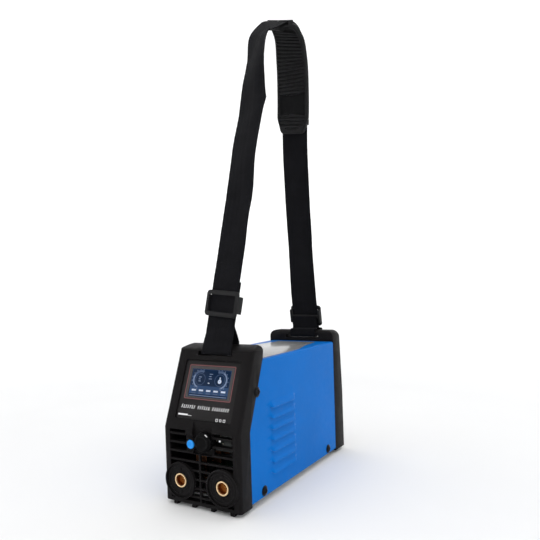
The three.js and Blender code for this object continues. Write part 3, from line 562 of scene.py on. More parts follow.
# ---- cover
COVER_HALF = 48.8
COVER_BOTTOM, COVER_TOP, COVER_CORNER = 7.3, 153.3, 2.6
COVER_FRONT, COVER_REAR = 20.8, 238.7  # depths of the lower front edge and of the rear edge
COVER_KNEE, COVER_TOP_FRONT = 82.0, 50.3  # height where the front edge leans back, its depth at the top
LOUVRE_START, LOUVRE_END = 63.0, 120.0
LOUVRE_RISE, LOUVRE_HEIGHT = 3.0, 7.8
LOUVRE_RAMP = 4.0  # length over which each end comes up
LOUVRE_LIP = 1.9  # how far each open edge hangs below the slit behind it
LOUVRE_ROWS = [26.0 + LOUVRE_LIP + 12.1 * i for i in range(7)]  # heights of the slits
SLIT = 0.06


def louvre_shape(depth, z):
    """How far the sheet is pressed out, and hangs down, at a place on the cover's side."""
    if z is None or not LOUVRE_START <= depth <= LOUVRE_END:
        return 0.0, 0.0
    run = sin(0.5 * pi * min(1.0, min(depth - LOUVRE_START, LOUVRE_END - depth) / LOUVRE_RAMP)) ** 0.8
    for row in LOUVRE_ROWS:
        if z == row:
            return LOUVRE_RISE * run, LOUVRE_LIP * run
        share = (z - row + LOUVRE_LIP) / LOUVRE_HEIGHT
        if z > row and share <= 1:
            return LOUVRE_RISE * run * max(0.0, cos(0.5 * pi * share)) ** 1.3, 0.0
    return 0.0, 0.0


def make_cover():
    heights = {COVER_BOTTOM, 14.0, 20.0, COVER_KNEE, 118.0, 136.0, COVER_TOP - COVER_CORNER}  # rows on a side
    for row in LOUVRE_ROWS:
        heights.update({row - SLIT, row})
        heights.update(row + (LOUVRE_HEIGHT - LOUVRE_LIP) * k / 8 for k in range(1, 9))
    path = [(COVER_HALF, z, z) for z in sorted(heights)]  # x, z, and z again where it is on a side
    for k in range(1, 6):
        angle = 0.5 * pi * k / 6
        x, z = COVER_HALF - COVER_CORNER * (1 - cos(angle)), COVER_TOP - COVER_CORNER * (1 - sin(angle))
        path.append((x, z, None))
    half = len(path)
    path += [(x, COVER_TOP, None) for x in (46.2, 30.0, 10.0, -10.0, -30.0, -46.2)]
    path += [(-x, z, side) for x, z, side in reversed(path[:half])]
    ends = [0.0, 0.8, 1.8, 3.0, 4.2]  # columns from each end of a louvre
    depths = [53.0] + [LOUVRE_START + e for e in ends] + [LOUVRE_START + 10 + 7.5 * k for k in range(6)]
    depths += [LOUVRE_END - e for e in reversed(ends)] + [125.0, 150.0, 180.0, 210.0, COVER_REAR]
    verts, faces = [], []
    lean = (COVER_TOP_FRONT - COVER_FRONT) / (COVER_TOP - COVER_KNEE)
    for x, z, side in path:
        for depth in [COVER_FRONT + max(0.0, z - COVER_KNEE) * lean] + depths:
            rise, hang = louvre_shape(depth, side)
            verts.append((x + copysign(rise, x), at(depth), z - hang))
    columns = len(depths) + 1
    for row, ((_, _, side), (_, _, next_side)) in enumerate(zip(path, path[1:])):
        slit = side is not None and next_side is not None and abs(side - next_side) < 2 * SLIT
        for column in range(columns - 1):
            if slit and column and LOUVRE_START < depths[column - 1] and depths[column] < LOUVRE_END:
                continue
            a = row * columns + column
            faces.append((a, a + 1, a + columns + 1, a + columns))
    shape = Shape()
    shape.add(verts, faces)
    cover = piece("cover_sheet", shape, "cover_blue", ["cover"], limit=40)
    solid = cover.modifiers.new("sheet", "SOLIDIFY")
    solid.thickness = 1.2 * MM
    solid.offset = -1.0
    # The inside faces take the near-black look, a painted shade for the inside of the case behind the louvre
    # slits.
    cover.data.materials.append(looks["cover_inside"])
    solid.material_offset = 1
    cover.modifiers.move(len(cover.modifiers) - 1, 0)


make_cover()


# ---- screws
def smoothstep(low, high, value):
    share = max(0.0, min(1.0, (value - low) / (high - low)))
    return share * share * (3 - 2 * share)


def screw_shape(where, radius, height):
    """A round head with a cross recess; local Z is outward from the seat."""
    sides, steps = 48, 14
    arm_half, arm_reach = 0.11 * radius, 0.5 * radius
    rings = [circle(where, radius, 0.02, sides, pi / 4)]
    for k in range(steps + 1):
        share = 1 - k / steps
        dome = height * (0.42 + 0.58 * cos(0.5 * pi * share ** 1.6))
        ring = []
        for j in range(sides):
            x, y = polar(max(radius * share, 0.02), 2 * pi * j / sides + pi / 4)
            near, far = sorted((abs(x), abs(y)))
            cut = 1 - smoothstep(arm_half * 0.8, arm_half * 1.5, near)
            cut *= 1 - smoothstep(arm_reach * 0.85, arm_reach * 1.1, far)
            ring.append(where @ Vector((x, y, dome - cut * 0.55 * height)))
        rings.append(ring)
    shape = Shape()
    shape.skin(rings)
    return shape


SIDE_SCREWS = [(36.6, 121.0), (46.0, 13.4), (213.0, 13.4)]  # depth and z
for side, side_name in ((-1, "left"), (1, "right")):
    for number, (depth, z) in enumerate(SIDE_SCREWS, start=1):
        name = f"cover_screw_{side_name}_{number}"
        seat = on_side(side, depth, z, side * (COVER_HALF + 0.05))
        shape = screw_shape(seat, 4.7, 2.4)
        shape.turn([(5.6, 0.02), (5.6, 0.35), (5.4, 0.5), (4.6, 0.5)], seat, 40)
        piece(name + "_head", shape, "black_steel", [name], limit=38)


# ---- knob, button and lamp
KNOB_X, KNOB_Z, KNOB_GRIPS = 5.0, 72.0, 12
BUTTON_X, BUTTON_Z = -11.0, 68.5
LAMP_X, LAMP_Z = 24.5, 75.2


def knob_scale(angle, radius, height):
    """Grip grooves round the knob's skirt."""
    if radius < 9.3 or height > 2.7:
        return 1.0
    return 1.0 - 0.055 * max(0.0, cos(KNOB_GRIPS * angle)) ** 3


def make_controls():
    seat = on_front(KNOB_X, KNOB_Z)
    knob = Shape()
    knob.turn([(3.0, -3.1), (9.9, -3.1), (10.35, -2.8), (10.5, -2.3), (10.5, 1.6), (10.3, 2.2), (9.9, 2.6),
               (9.4, 2.75), (9.0, 3.3), (8.7, 4.2), (8.2, 4.75), (7.6, 4.95), (7.0, 4.9), (6.6, 4.6),
               (6.2, 4.45), (4.0, 4.4), (0.02, 4.4)], seat, 144, knob_scale)
    piece("knob_cap", knob, "knob_black", ["control_knob"], "knob", limit=36)
    # A white dash along the rim's chamfer, a painted highlight of the glossy rim.
    rim_highlight = Shape()
    turned = seat @ Matrix.Rotation(radians(-33), 4, "Z")
    rim_highlight.slab(rounded(-1.7, 1.7, 9.0, 9.75, 0.3, 3), 2.0, 3.2, turned, 0.12, 2)
    piece("knob_rim_highlight", rim_highlight, "label_white", body="knob")
    seat = on_front(BUTTON_X, BUTTON_Z)
    button = Shape()
    button.turn([(4.6, -8.0), (4.6, 2.2), (4.5, 2.6), (4.2, 2.9), (3.8, 3.0), (3.4, 2.95), (2.8, 2.6),
                 (1.6, 2.35), (0.02, 2.3)], seat, 64)
    piece("button_cap", button, "button_blue", ["select_button"], "button")
    collar = Shape()
    collar.turn([(4.8, -4.0), (4.8, 1.7), (5.0, 1.95), (5.5, 1.95), (5.8, 1.7), (5.9, -4.0)], seat, 56,
                closed=True)
    piece("button_collar", collar, "moulded_black")
    seat = on_front(LAMP_X, LAMP_Z)
    lamp = Shape()
    lamp.turn([(1.1, -1.6), (1.1, -0.95), (0.95, -0.68), (0.6, -0.54), (0.02, -0.5)], seat, 24)
    piece("status_lamp", lamp, "lamp_lit", ["status_led"])
    stem = Shape()
    stem.turn([(1.3, -14.0), (1.3, -1.5), (1.1, -1.3), (0.02, -1.3)], seat, 24)
    piece("status_lamp_stem", stem, "component_black")


make_controls()


# ---- output sockets
def keyway(angle, radius, height):
    """The notch that the plug's pin passes through, in the bore at the top."""
    if radius > 6.1 or height < -4.0:
        return 1.0
    width = 1.3 / 5.0
    notch = 1 - smoothstep(width * 0.85, width * 1.15, abs(angle - 0.5 * pi))
    return 1.0 + notch * (6.9 / radius - 1.0)


for side, (x, z) in SOCKET_PLACES.items():
    seat = on_front(x, z)
    shell = Shape()
    shell.turn([(8.4, -20.0), (8.4, 0.75), (8.55, 0.95), (9.35, 0.95), (9.6, 0.75), (10.0, 0.3),
                (10.3, 0.15), (11.2, 0.0), (13.2, 0.0), (14.1, 0.15), (14.4, 0.4), (14.55, 0.95),
                (14.85, 1.2), (17.1, 1.2), (17.45, 1.0), (17.5, 0.6), (17.5, -0.28), (14.9, -0.28),
                (14.9, -20.0)], seat, 96, closed=True)
    for turn in (90, 270):  # two moulded bayonet marks in the groove
        turned = seat @ Matrix.Rotation(radians(turn), 4, "Z")
        shell.slab(rounded(10.6, 13.8, -1.1, 1.1, 0.4, 3), -0.4, 0.55, turned, 0.2, 2)
    piece("socket_shell_" + side, shell, "moulded_black", ["socket_body_" + side])
    contact = Shape()
    contact.turn([(5.7, -19.0), (5.7, -0.1), (5.85, 0.7), (6.05, 1.1), (6.3, 1.25), (7.2, 1.25), (7.5, 1.1),
                  (7.7, 0.7), (7.9, -19.0)], seat, 120, keyway, closed=True)
    contact.turn([(5.55, -6.0), (5.55, -4.2), (2.2, -4.2), (2.0, -3.1), (1.7, -2.9), (1.1, -2.9),
                  (1.0, -3.3), (0.02, -3.3)], seat, 48)
    name = "socket_contact_" + side
    piece(name + "_ring", contact, "socket_brass_" + side, [name])


# ---- display and control label
SCREEN_H = -1.44  # height of the lit marks over the leaning face
LABEL_H = -1.26


def band(shape, centre, radii, angles, low, high, steps=24):
    """A flat arc of a ring on the leaning face."""
    rings = []
    for k in range(steps + 1):
        angle = radians(angles[0] + (angles[1] - angles[0]) * k / steps)
        ring = []
        for radius, height in ((radii[0], low), (radii[1], low), (radii[1], high), (radii[0], high)):
            x, y = polar(radius, angle)
            ring.append(SLOPE @ Vector((centre[0] + x, centre[1] + y, height)))
        rings.append(ring)
    shape.skin(rings)


def bar(shape, x0, x1, s0, s1, low, high, slant=0.0):
    shape.slab([(x0, s0), (x1, s0), (x1 + slant, s1), (x0 + slant, s1)], low, high, SLOPE)


def frame_ring(shape, outer, inner, low, high):
    """A flat frame between two outlines of equal length."""
    rims = (outer, low), (outer, high), (inner, high), (inner, low)
    shape.skin([level(line, SLOPE, height) for line, height in rims], closed=True)


def make_display():
    low, high = SCREEN_H - 0.1, SCREEN_H
    dim, lit, white, field = Shape(), Shape(), Shape(), Shape()
    for centre, arc, first, filled in (
        ((-13.2, 54.6), (68, 262), 74, (150, 250)),
        ((12.2, 54.6), (-82, 112), -76, (-70, 60)),
    ):
        band(dim, centre, (7.6, 10.2), arc, low, high, 36)
        band(dim, centre, (6.0, 6.5), (0, 360), low, high, 48)
        for k in range(9):
            angle = first + 22.5 * k
            band(lit, centre, (10.6, 11.3), (angle, angle + 5), low, high, 2)
        band(lit, centre, (8.2, 9.5), filled, low + 0.03, high + 0.03, 20)
    for k, width in enumerate((3.4, 2.2, 3.0)):  # a readout of bars in the left ring and between the rings
        bar(lit, -15.4, -15.4 + width, 56.6 - 2.2 * k, 57.5 - 2.2 * k, low, high)
        bar(lit, -2.2, -2.2 + 1.3 * width, 60.4 - 2.6 * k, 61.2 - 2.6 * k, low, high)
    band(white, (12.4, 53.4), (0.4, 2.3), (0, 360), low, high)
    bar(white, 11.7, 13.1, 55.4, 58.0, low, high)
    bar(white, -2.4, -0.4, 50.4, 51.4, low, high)
    bar(field, -25.2, 25.2, 38.5, 47.6, low - 0.02, high - 0.03)
    for k in range(5):
        x = -22.0 + 9.6 * k
        bar(white, x, x + 5.6, 41.7, 43.5, low, high)
        bar(dim, x, x + 5.6, 38.9, 40.3, low, high)
    bar(lit, -24.0, 24.0, 36.7, 37.3, low, high)
    frame_ring(dim, [(-25.4, 36.0), (25.4, 36.0), (25.4, 65.8), (-25.4, 65.8)],
               [(-25.0, 36.3), (25.0, 36.3), (25.0, 65.4), (-25.0, 65.4)], low, high)
    piece("display_field", field, "screen_field")
    piece("display_dim_marks", dim, "screen_dim")
    piece("display_lit_marks", lit, "screen_lit")
    piece("display_white_marks", white, "screen_white")


def make_label_marks():
    low = LABEL_H - 0.3
    border = Shape()
    frame_ring(border, rounded(-30.5, 30.5, 32.5, 70.4, 1.6), rounded(-29.3, 29.3, 33.7, 69.2, 1.0), low,
               LABEL_H)
    piece("display_border", border, "label_red")
    rim = Shape()
    frame_ring(rim, rounded(-28.9, 28.9, 34.1, 68.8, 1.2), rounded(-25.9, 25.9, 35.5, 66.2, 0.4), low,
               LABEL_H + 0.08)
    piece("display_rim", rim, "label_grey")
    marks = Shape()
    high = LABEL_H + 0.02
    for k in range(23):  # a plain scale of slanted ticks under the display, in three groups
        if k in (7, 14):
            continue
        x = -31.0 + 2.72 * k
        bar(marks, x, x + 0.75, 22.5, 25.9 if k % 5 else 26.4, low, high, 0.8)
        if k % 3:
            rise = 22.6 if k % 2 else 25.2
            bar(marks, x + 0.4, x + 1.7, rise, rise + 0.6, low, high, 0.1)
    bar(marks, -33.6, -20.6, 14.7, 16.3, low, high, 0.3)
    bar(marks, -20.0, -15.4, 14.7, 15.1, low, high)
    for x in (16.4, 25.6):
        frame_ring(marks, rounded(x, x + 2.8, 11.9, 14.7, 0.4, 3),
                   rounded(x + 0.5, x + 2.3, 12.4, 14.2, 0.2, 3), low, high)
    band(marks, (22.3, 13.3), (0.9, 1.45), (0, 360), low, high, 20)
    piece("label_ticks", marks, "label_white")


make_display()
make_label_marks()


# ---- top label
FILM_EDGE = [(43, 54), (43, 147), (33, 186), (28, 226)]  # x and depth of the label's right edge
FILM_H = COVER_TOP + 0.5
UPWARD = place(0, 0, 0, (1, 0, 0), (0, 1, 0))
RULES_HALF, RULES_START, RULES_END = 39.5, 60, 146


def make_top_label():
    edge = [(x, at(depth)) for x, depth in FILM_EDGE]
    film = Shape()
    film.slab(edge + [(-x, y) for x, y in reversed(edge)], FILM_H - 0.3, FILM_H, UPWARD, 0.1, 2)
    piece("top_label_film", film, "silver_label", ["top_label"])
    lines = Shape()

    def rule(x0, x1, start, end):
        outline = [(x0, at(start)), (x1, at(start)), (x1, at(end)), (x0, at(end))]
        lines.slab(outline, FILM_H - 0.05, FILM_H + 0.03, UPWARD)

    for x in (-RULES_HALF, RULES_HALF):
        rule(x - 0.2, x + 0.2, RULES_START, RULES_END)
    for k in range(6):
        depth = RULES_START + 16.1 * k
        rule(-RULES_HALF, RULES_HALF, depth, depth + 0.4)
        for x, reach in ((-36.0, 14.0), (-11.0, 9.0), (14.0, 12.0)) if k < 5 else ():
            rule(x, x + reach, depth + 7, depth + 9)
    piece("top_label_rules", lines, "label_print")


make_top_label()


# ---- shoulder strap
WEBBING_WIDTH, WEBBING_THICKNESS = 38.0, 1.5


def width_direction(turn, dip):
    """Direction of the webbing's width: turned about the upright axis, then dipped to its +X side."""
    turn, dip = radians(turn), radians(dip)
    return cos(turn) * cos(dip), -sin(turn) * cos(dip), -sin(dip)


def halfway(a, b):
    return [(p + q) / 2 for p, q in zip(a, b)]


FRONT_STRAIGHT = [(0, 42.5, 187), (6, 51.5, 243)]
FRONT_TURN = 6
FRONT_WIDTH = width_direction(FRONT_TURN, 0)
REAR_STRAIGHT = [(5, 242.5, 215), (4, 251.5, 171.5)]
REAR_WIDTH = width_direction(0, 0)
STRAP_LEGS = [  # x, depth, z of the webbing's middle line, and the turn and dip of its width in degrees
    (*FRONT_STRAIGHT[0], FRONT_TURN, 0),
    (*halfway(*FRONT_STRAIGHT), FRONT_TURN, 0),
    (*FRONT_STRAIGHT[1], FRONT_TURN, 0),
    (9, 61, 285, 6, 0),
    (11, 72, 330, 9, 0),
    (12, 81, 380, 18, 0),
    (14, 100, 445, 18, 0),
    (15, 110, 500, 33, 0),
    (15, 126, 536, 40, 31),
    (24, 133, 545, 33, 33),
    (34, 150, 552, 26, 20),
    (35, 168, 543, 16, 17),
    (30, 184, 518, 9, 12),
    (25, 194, 475, 7, 7),
    (16, 207, 420, 5, 4),
    (10, 220, 355, 5, 0),
    (7, 232, 285, 6, 0),
    (*REAR_STRAIGHT[0], 0, 0),
    (*halfway(*REAR_STRAIGHT), 0, 0),
    (*REAR_STRAIGHT[1], 0, 0),
]
FRONT_LOOP = [  # x, depth, z of the corners round the strap bar, from the loose end to the leg
    (5.8, 52.9, 238), (0.6, 44.9, 190), (-2, 54.4, 171.5), (-2, 54.4, 160.2), (3, 30.2, 160.2),
    (3, 30.2, 163), (1.6, 40.6, 184.4),
]
REAR_LOOP = [  # the same, from the leg to the loose end
    (4, 262.3, 169.8), (4, 262.3, 160.2), (4, 237.6, 160.2), (4, 237.6, 170), (4, 245.6, 170.4),
    (4.1, 246.2, 174), (4.2, 243.5, 188),
]
LEG_STEPS = 24  # stations to each span of the legs
LOOP_STEP = 3.0  # distance between stations of the loops
BAR_Z, TURNED_Z = 172, 188  # between these heights the loops turn from lying along X to the leg's width


def spline(points, steps):
    """Centripetal Catmull-Rom curve through points, steps places to each span."""
    ends = [points[0] * 2 - points[1]] + points + [points[-1] * 2 - points[-2]]
    made = []
    for i in range(len(points) - 1):
        p0, p1, p2, p3 = ends[i:i + 4]
        g0, g1, g2 = (max((b - a).length, 1e-4) ** 0.5 for a, b in ((p0, p1), (p1, p2), (p2, p3)))
        t1 = ((p1 - p0) / g0 - (p2 - p0) / (g0 + g1) + (p2 - p1) / g1) * g1
        t2 = ((p2 - p1) / g1 - (p3 - p1) / (g1 + g2) + (p3 - p2) / g2) * g1
        for k in range(steps + (i == len(points) - 2)):
            t = k / steps
            curve = (3 * (p2 - p1) - 2 * t1 - t2) * t ** 2 + (2 * (p1 - p2) + t1 + t2) * t ** 3
            made.append(p1 + t1 * t + curve)
    return made


def cornered(rows, radius, width):
    """Stations along the corner points of a loop, with each corner turned into a short arc."""
    corners = [Vector((x, at(depth), z)) for x, depth, z in rows]
    places = [corners[0]]
    for before, corner, after in zip(corners, corners[1:], corners[2:]):
        start, end = (corner.lerp(other, min(radius / (corner - other).length, 0.48))
                      for other in (before, after))
        for t in (k / 6 for k in range(7)):
            places.append(start * (1 - t) ** 2 + corner * 2 * t * (1 - t) + end * t ** 2)
    places.append(corners[-1])
    spaced = []
    for a, b in zip(places, places[1:]):
        count = max(1, int((b - a).length / LOOP_STEP))
        spaced += [a.lerp(b, k / count) for k in range(count)]
    spaced.append(places[-1])
    stations = []
    for p in spaced:
        share = max(0.0, min(1.0, (p.z - BAR_Z) / (TURNED_Z - BAR_Z)))
        stations.append((p, Vector((1, 0, 0)).lerp(Vector(width), share)))
    return stations


def squared(stations):
    """(place, across, inside) with across at a right angle to the path."""
    frames = []
    last = len(stations) - 1
    for i, (where, across) in enumerate(stations):
        along = (stations[min(i + 1, last)][0] - stations[max(i - 1, 0)][0]).normalized()
        across = (across - along * across.dot(along)).normalized()
        frames.append((where, across, along.cross(across)))
    return frames


leg_places = spline([Vector((x, at(depth), z)) for x, depth, z, _, _ in STRAP_LEGS], LEG_STEPS)
leg_widths = spline([Vector(width_direction(*row[3:])) for row in STRAP_LEGS], LEG_STEPS)
front_loop = cornered(FRONT_LOOP, 2.4, FRONT_WIDTH)
strap_frames = squared(front_loop + list(zip(leg_places, leg_widths)) + cornered(REAR_LOOP, 2.2, REAR_WIDTH))


def leg_index(row):
    """Station of a row of STRAP_LEGS, which may lie between two rows."""
    return len(front_loop) + round(row * LEG_STEPS)


SPREAD = (0.25, 0.5, 0.75, 0.87, 0.9, 0.95, 0.985, 1)  # shares of the half width where vertices stand
RIPPLE, FINE_RIPPLE, FRAY, CUP = 1.5, 0.22, 0.25, 0.9
FOLD_START = 0.42  # share of the half width where the front leg's edge folds away
FOLD_OUT, FOLD_IN = 1.0, 3.2  # how far the folded edge goes across and into the loop
KINK_ROW, KINK_OUT, KINK_STEPS = 6.0, 5.2, 5.0  # where the folded edge stands out most, by how much, how long


def ramp(i, start, end):
    """0 to 1 at station i, between two rows of STRAP_LEGS."""
    return smoothstep(leg_index(start), leg_index(end), i)


def make_webbing():
    half = WEBBING_WIDTH / 2
    rings, spots = [], []
    length = 0.0
    last = strap_frames[0][0]
    for i, (where, across, inside) in enumerate(strap_frames):
        length += (where - last).length
        last = where
        under_pad = ramp(i, 7.8, 8.6) * (1 - ramp(i, 13.8, 14.5))
        loose = ramp(i, 2.4, 3.65) * (1 - ramp(i, 15.5, 16.4)) * (1 - under_pad)
        folded = ramp(i, 3.3, 5.0) * (1 - ramp(i, 7.6, 8.1))
        kink = FOLD_OUT + KINK_OUT * exp(-abs(i - leg_index(KINK_ROW)) / KINK_STEPS)
        front, back, line = [], [], []
        for share in [-s for s in reversed(SPREAD)] + [0, *SPREAD]:
            u = half * share
            thick = 0.5 * WEBBING_THICKNESS * (1 - 0.55 * smoothstep(0.965, 1.0, abs(share)))
            thick *= 1 - 0.16 * (1 - smoothstep(0.0, 0.035, abs(abs(share) - 0.885)))
            ripple = noise.noise(Vector((u * 0.05, length * 0.022, 3.1))) * RIPPLE * loose
            ripple += noise.noise(Vector((u * 0.02, length * 0.15, 9.7))) * FINE_RIPPLE
            frayed = FRAY * noise.noise(Vector((length * 0.9, 4.0 * share, 1.3)))
            frayed *= smoothstep(0.96, 1.0, abs(share))
            cup = -CUP * loose * share * share
            turned = folded * smoothstep(FOLD_START, 1.0, share)
            middle = where + across * (u + copysign(frayed, u) + turned * kink)
            middle += inside * (ripple + cup + FOLD_IN * turned)
            front.append(middle - inside * thick)
            back.append(middle + inside * thick)
            line.append((u * MM, length * MM))
        rings.append(front + back[::-1])
        spots.append(line + line[::-1])
    shape = Shape()
    shape.skin(rings, spots=spots)
    piece("webbing_strap", shape, "webbing", ["strap_webbing"], limit=60)


make_webbing()


# ---- shoulder pad
PAD_ROWS = (13.8, 9.2)  # from the lower end to the end over the top of the loop
PAD_HALF, PAD_FACE, PAD_BACK = 23.5, 8.15, 1.3  # half width, and heights over the webbing's middle
PAD_RIM = 20.2  # half width of the moulded pattern
PAD_ROUND = 1.9  # radius of the pad's outer edges
PAD_WINDOWS = [(22.0, 50.0), (128.0, 154.0)]  # start and end of the smooth fields along the pad
PAD_END = 5.0  # plain length at each end
PAD_END_HALF, PAD_NECK_HALF = 12.0, 19.1  # half widths where the outline of an end starts and stops curving
PAD_END_ROUND = 8.0  # length of that curve
WINDOW_DEEP, RIB_DEEP = 2.1, 1.9
RIB_PITCH = 4.6
PAD_COLUMNS = 44


def pad_relief(u, v, length):
    """Depth of the moulded pattern under the pad's rim."""
    if abs(u) > PAD_RIM:
        return 0.0
    edge = smoothstep(0.0, 1.0, PAD_RIM - abs(u))
    bow = 2.6 * (1 - (u / 20.0) ** 2)
    for low, high in PAD_WINDOWS:
        inside = smoothstep(0.0, 0.7, v - (low + bow)) * (1 - smoothstep(0.0, 0.7, v - (high - bow)))
        if inside > 0:
            return WINDOW_DEEP * inside * edge
    if v < PAD_END + 0.02 * u * u or v > length - PAD_END:
        return 0.0
    rib = 0.5 + 0.5 * cos(2 * pi * v / RIB_PITCH)
    return RIB_DEEP * (1 - smoothstep(0.1, 0.75, rib)) * edge


def pad_stations():
    """The pad's length, and places along it as (distance, place, across, inside)."""
    first, last = (leg_index(row) for row in PAD_ROWS)
    frames = [strap_frames[i] for i in range(first, last - 1, -1)]
    lengths = [0.0]
    for (a, _, _), (b, _, _) in zip(frames, frames[1:]):
        lengths.append(lengths[-1] + (b - a).length)
    total = lengths[-1]
    stations = []
    count = int(total / (RIB_PITCH / 10))
    index = 0
    for k in range(count + 1):
        v = total * k / count
        while index < len(lengths) - 2 and lengths[index + 1] < v:
            index += 1
        share = (v - lengths[index]) / max(lengths[index + 1] - lengths[index], 1e-6)
        where, across, inside = (a.lerp(b, share) for a, b in zip(frames[index], frames[index + 1]))
        stations.append((v, where, across.normalized(), inside.normalized()))
    return total, stations


def worn_off(distance):
    """Height lost to the rounding of an outer edge that is this far away."""
    return PAD_ROUND - sqrt(max(0.0, PAD_ROUND ** 2 - max(0.0, PAD_ROUND - distance) ** 2))


def make_pad():
    total, stations = pad_stations()
    rings = []
    for v, where, across, inside in stations:
        end = min(v, total - v)
        curve = sqrt(max(0.0, 1 - (1 - min(end / PAD_END_ROUND, 1.0)) ** 2))
        half = PAD_END_HALF + (PAD_NECK_HALF - PAD_END_HALF) * curve
        half += (PAD_HALF - PAD_NECK_HALF) * smoothstep(4.0, 22.0, end)
        face, back = [], []
        for j in range(PAD_COLUMNS + 1):
            share = -0.35 * cos(pi * j / PAD_COLUMNS) + 0.65 * (2 * j / PAD_COLUMNS - 1)
            u = half * share
            lost = max(worn_off(half - abs(u)), worn_off(end))
            face.append(where + across * u + inside * (PAD_FACE - lost - pad_relief(u, v, total)))
            if j % 4 == 0:
                back.append(where + across * u + inside * (PAD_BACK + lost))
        rings.append(face + back[::-1])
    shape = Shape()
    shape.skin(rings)
    right = [(20.3, -1.7), (20.9, -1.1), (20.9, 3.0), (20.1, 3.0), (20.1, -0.8), (19.8, -1.1)]
    loop = right + [(-u, h) for u, h in reversed(right)]
    for low in (11.0, total - 15.0):  # keepers that hold the pad to the webbing
        shape.skin([[where + across * u + inside * h for u, h in loop]
                    for v, where, across, inside in stations if low <= v <= low + 7.0])
    inlay = Shape()
    height = PAD_FACE - 1.85
    for low, high in PAD_WINDOWS:
        inlay.skin([
            [where + across * u + inside * height for u in range(-20, 21, 4)]
            + [where + across * u + inside * (height - 0.5) for u in range(20, -21, -4)]
            for v, where, across, inside in stations if low - 1.0 <= v <= high + 1.0
        ])
    piece("shoulder_pad_inlays", inlay, "pad_fabric")
    pad = piece("shoulder_pad_ribbed", shape, "pad_rubber", ["shoulder_pad"], limit=50)


make_pad()


# ---- strap sliders
def make_slider(end, ends, share, width, rim, bar):
    """A three-bar slider; rim and bar are heights out of the loop, from the webbing's middle."""
    low, high = (Vector((x, at(depth), z)) for x, depth, z in ends)
    along = (high - low).normalized()
    across = Vector(width)
    across = (across - along * across.dot(along)).normalized()
    axes = Matrix((across, along, across.cross(along))).transposed().to_4x4()
    seat = Matrix.Translation(low.lerp(high, share)) @ axes
    back, front = rim
    outer, inner = rounded(-23, 23, -14.5, 14.5, 4.0, 8), rounded(-19.9, 19.9, -10.4, 10.4, 1.6, 8)
    rise = 0.75
    shape = Shape()
    shape.skin([level(line, seat, height, inset) for line, height, inset in (
        (outer, back + 0.3, 0.0), (outer, back, 0.3), (inner, back, 0.3), (inner, back + 0.3, 0.0),
        (inner, front - rise, 0.0), (inner, front - 0.25, 0.25), (inner, front, rise),
        (outer, front, rise), (outer, front - 0.25, 0.25), (outer, front - rise, 0.0),
    )], closed=True)
    for side in (-1, 1):  # side rails that carry the middle bar
        rail = rounded(*sorted((side * 20.0, side * 22.9)), -9.5, 9.5, 1.2, 4)
        shape.slab(rail, min(back, bar[0]) + 0.2, max(front, bar[1]) - 0.2, seat, 0.5, 3)
        for k in range(7):  # moulded grip teeth on the rails
            y = -7.5 + 2.5 * k
            tooth = rounded(*sorted((side * 19.2, side * 20.4)), y - 0.55, y + 0.55, 0.3, 2)
            shape.slab(tooth, back + 0.5, front - 0.35, seat, 0.25, 2)
    middle, half = (bar[0] + bar[1]) / 2, (bar[1] - bar[0]) / 2
    rod = [(2.15 * cos(turn), middle + half * sin(turn)) for turn in (2 * pi * k / 24 for k in range(24))]
    shape.skin([[seat @ Vector((x, y, h)) for y, h in rod] for x in (-20.5, -19, -10, 0, 10, 19, 20.5)])
    piece("slider_frame_" + end, shape, "slider_black", ["strap_slider_" + end], end + "_slider", limit=40)


make_slider("front", FRONT_STRAIGHT, 0.47, FRONT_WIDTH, (1.3, 3.9), (-5.5, -3.3))
make_slider("rear", REAR_STRAIGHT[::-1], 0.38, REAR_WIDTH, (-3.9, -1.3), (1.3, 3.4))


# ---- rear panel
FAN_CENTRE = (0.0, 58.0)
FAN_SCREWS = [(35.75 * a, FAN_CENTRE[1] + 35.75 * b) for a in (-1, 1) for b in (-1, 1)]
GUARD_SCREWS = 50.56  # their distance from the fan's middle
FAN_BLADES = 7
HUB_RADIUS, BLADE_REACH = 14.2, 22.0
PANEL_BACK = 254.5
FAN_MIDDLE = 239.5


def make_fan():
    seat = on_rear(*FAN_CENTRE, FAN_MIDDLE)
    rotor = Shape()
    rotor.turn([(0.02, -9.3), (14.2, -9.3), (15.0, -8.6), (15.0, 8.2), (14.5, 8.9), (13.4, 9.1), (12.8, 8.8),
                (8.0, 8.6), (0.02, 8.6)], seat)
    blade = ((-1, 0.1), (-0.6, 0.7), (0, 0.85), (0.6, 0.7), (1, 0.1), (0.6, -0.35), (0, -0.15), (-0.6, -0.35))
    for k in range(FAN_BLADES):
        sections = []
        for share in (i / 8 for i in range(9)):
            radius = HUB_RADIUS + BLADE_REACH * share
            chord = 9.0 + 1.6 * share
            pitch = radians(52 - 22 * share)
            lead = radians(14 * share ** 1.4)
            section = []
            for t, thick in blade:
                along = chord * t
                camber = thick + 1.1 * (1 - t * t)
                y = along * cos(pitch) - camber * sin(pitch)
                h = along * sin(pitch) + camber * cos(pitch)
                angle = 2 * pi * k / FAN_BLADES + lead + y / radius
                section.append(seat @ Vector((*polar(radius, angle), h * 0.86)))
            sections.append(section)
        rotor.skin(sections)
    piece("fan_wheel", rotor, "fan_plastic", ["fan_rotor"], "fan", limit=42)


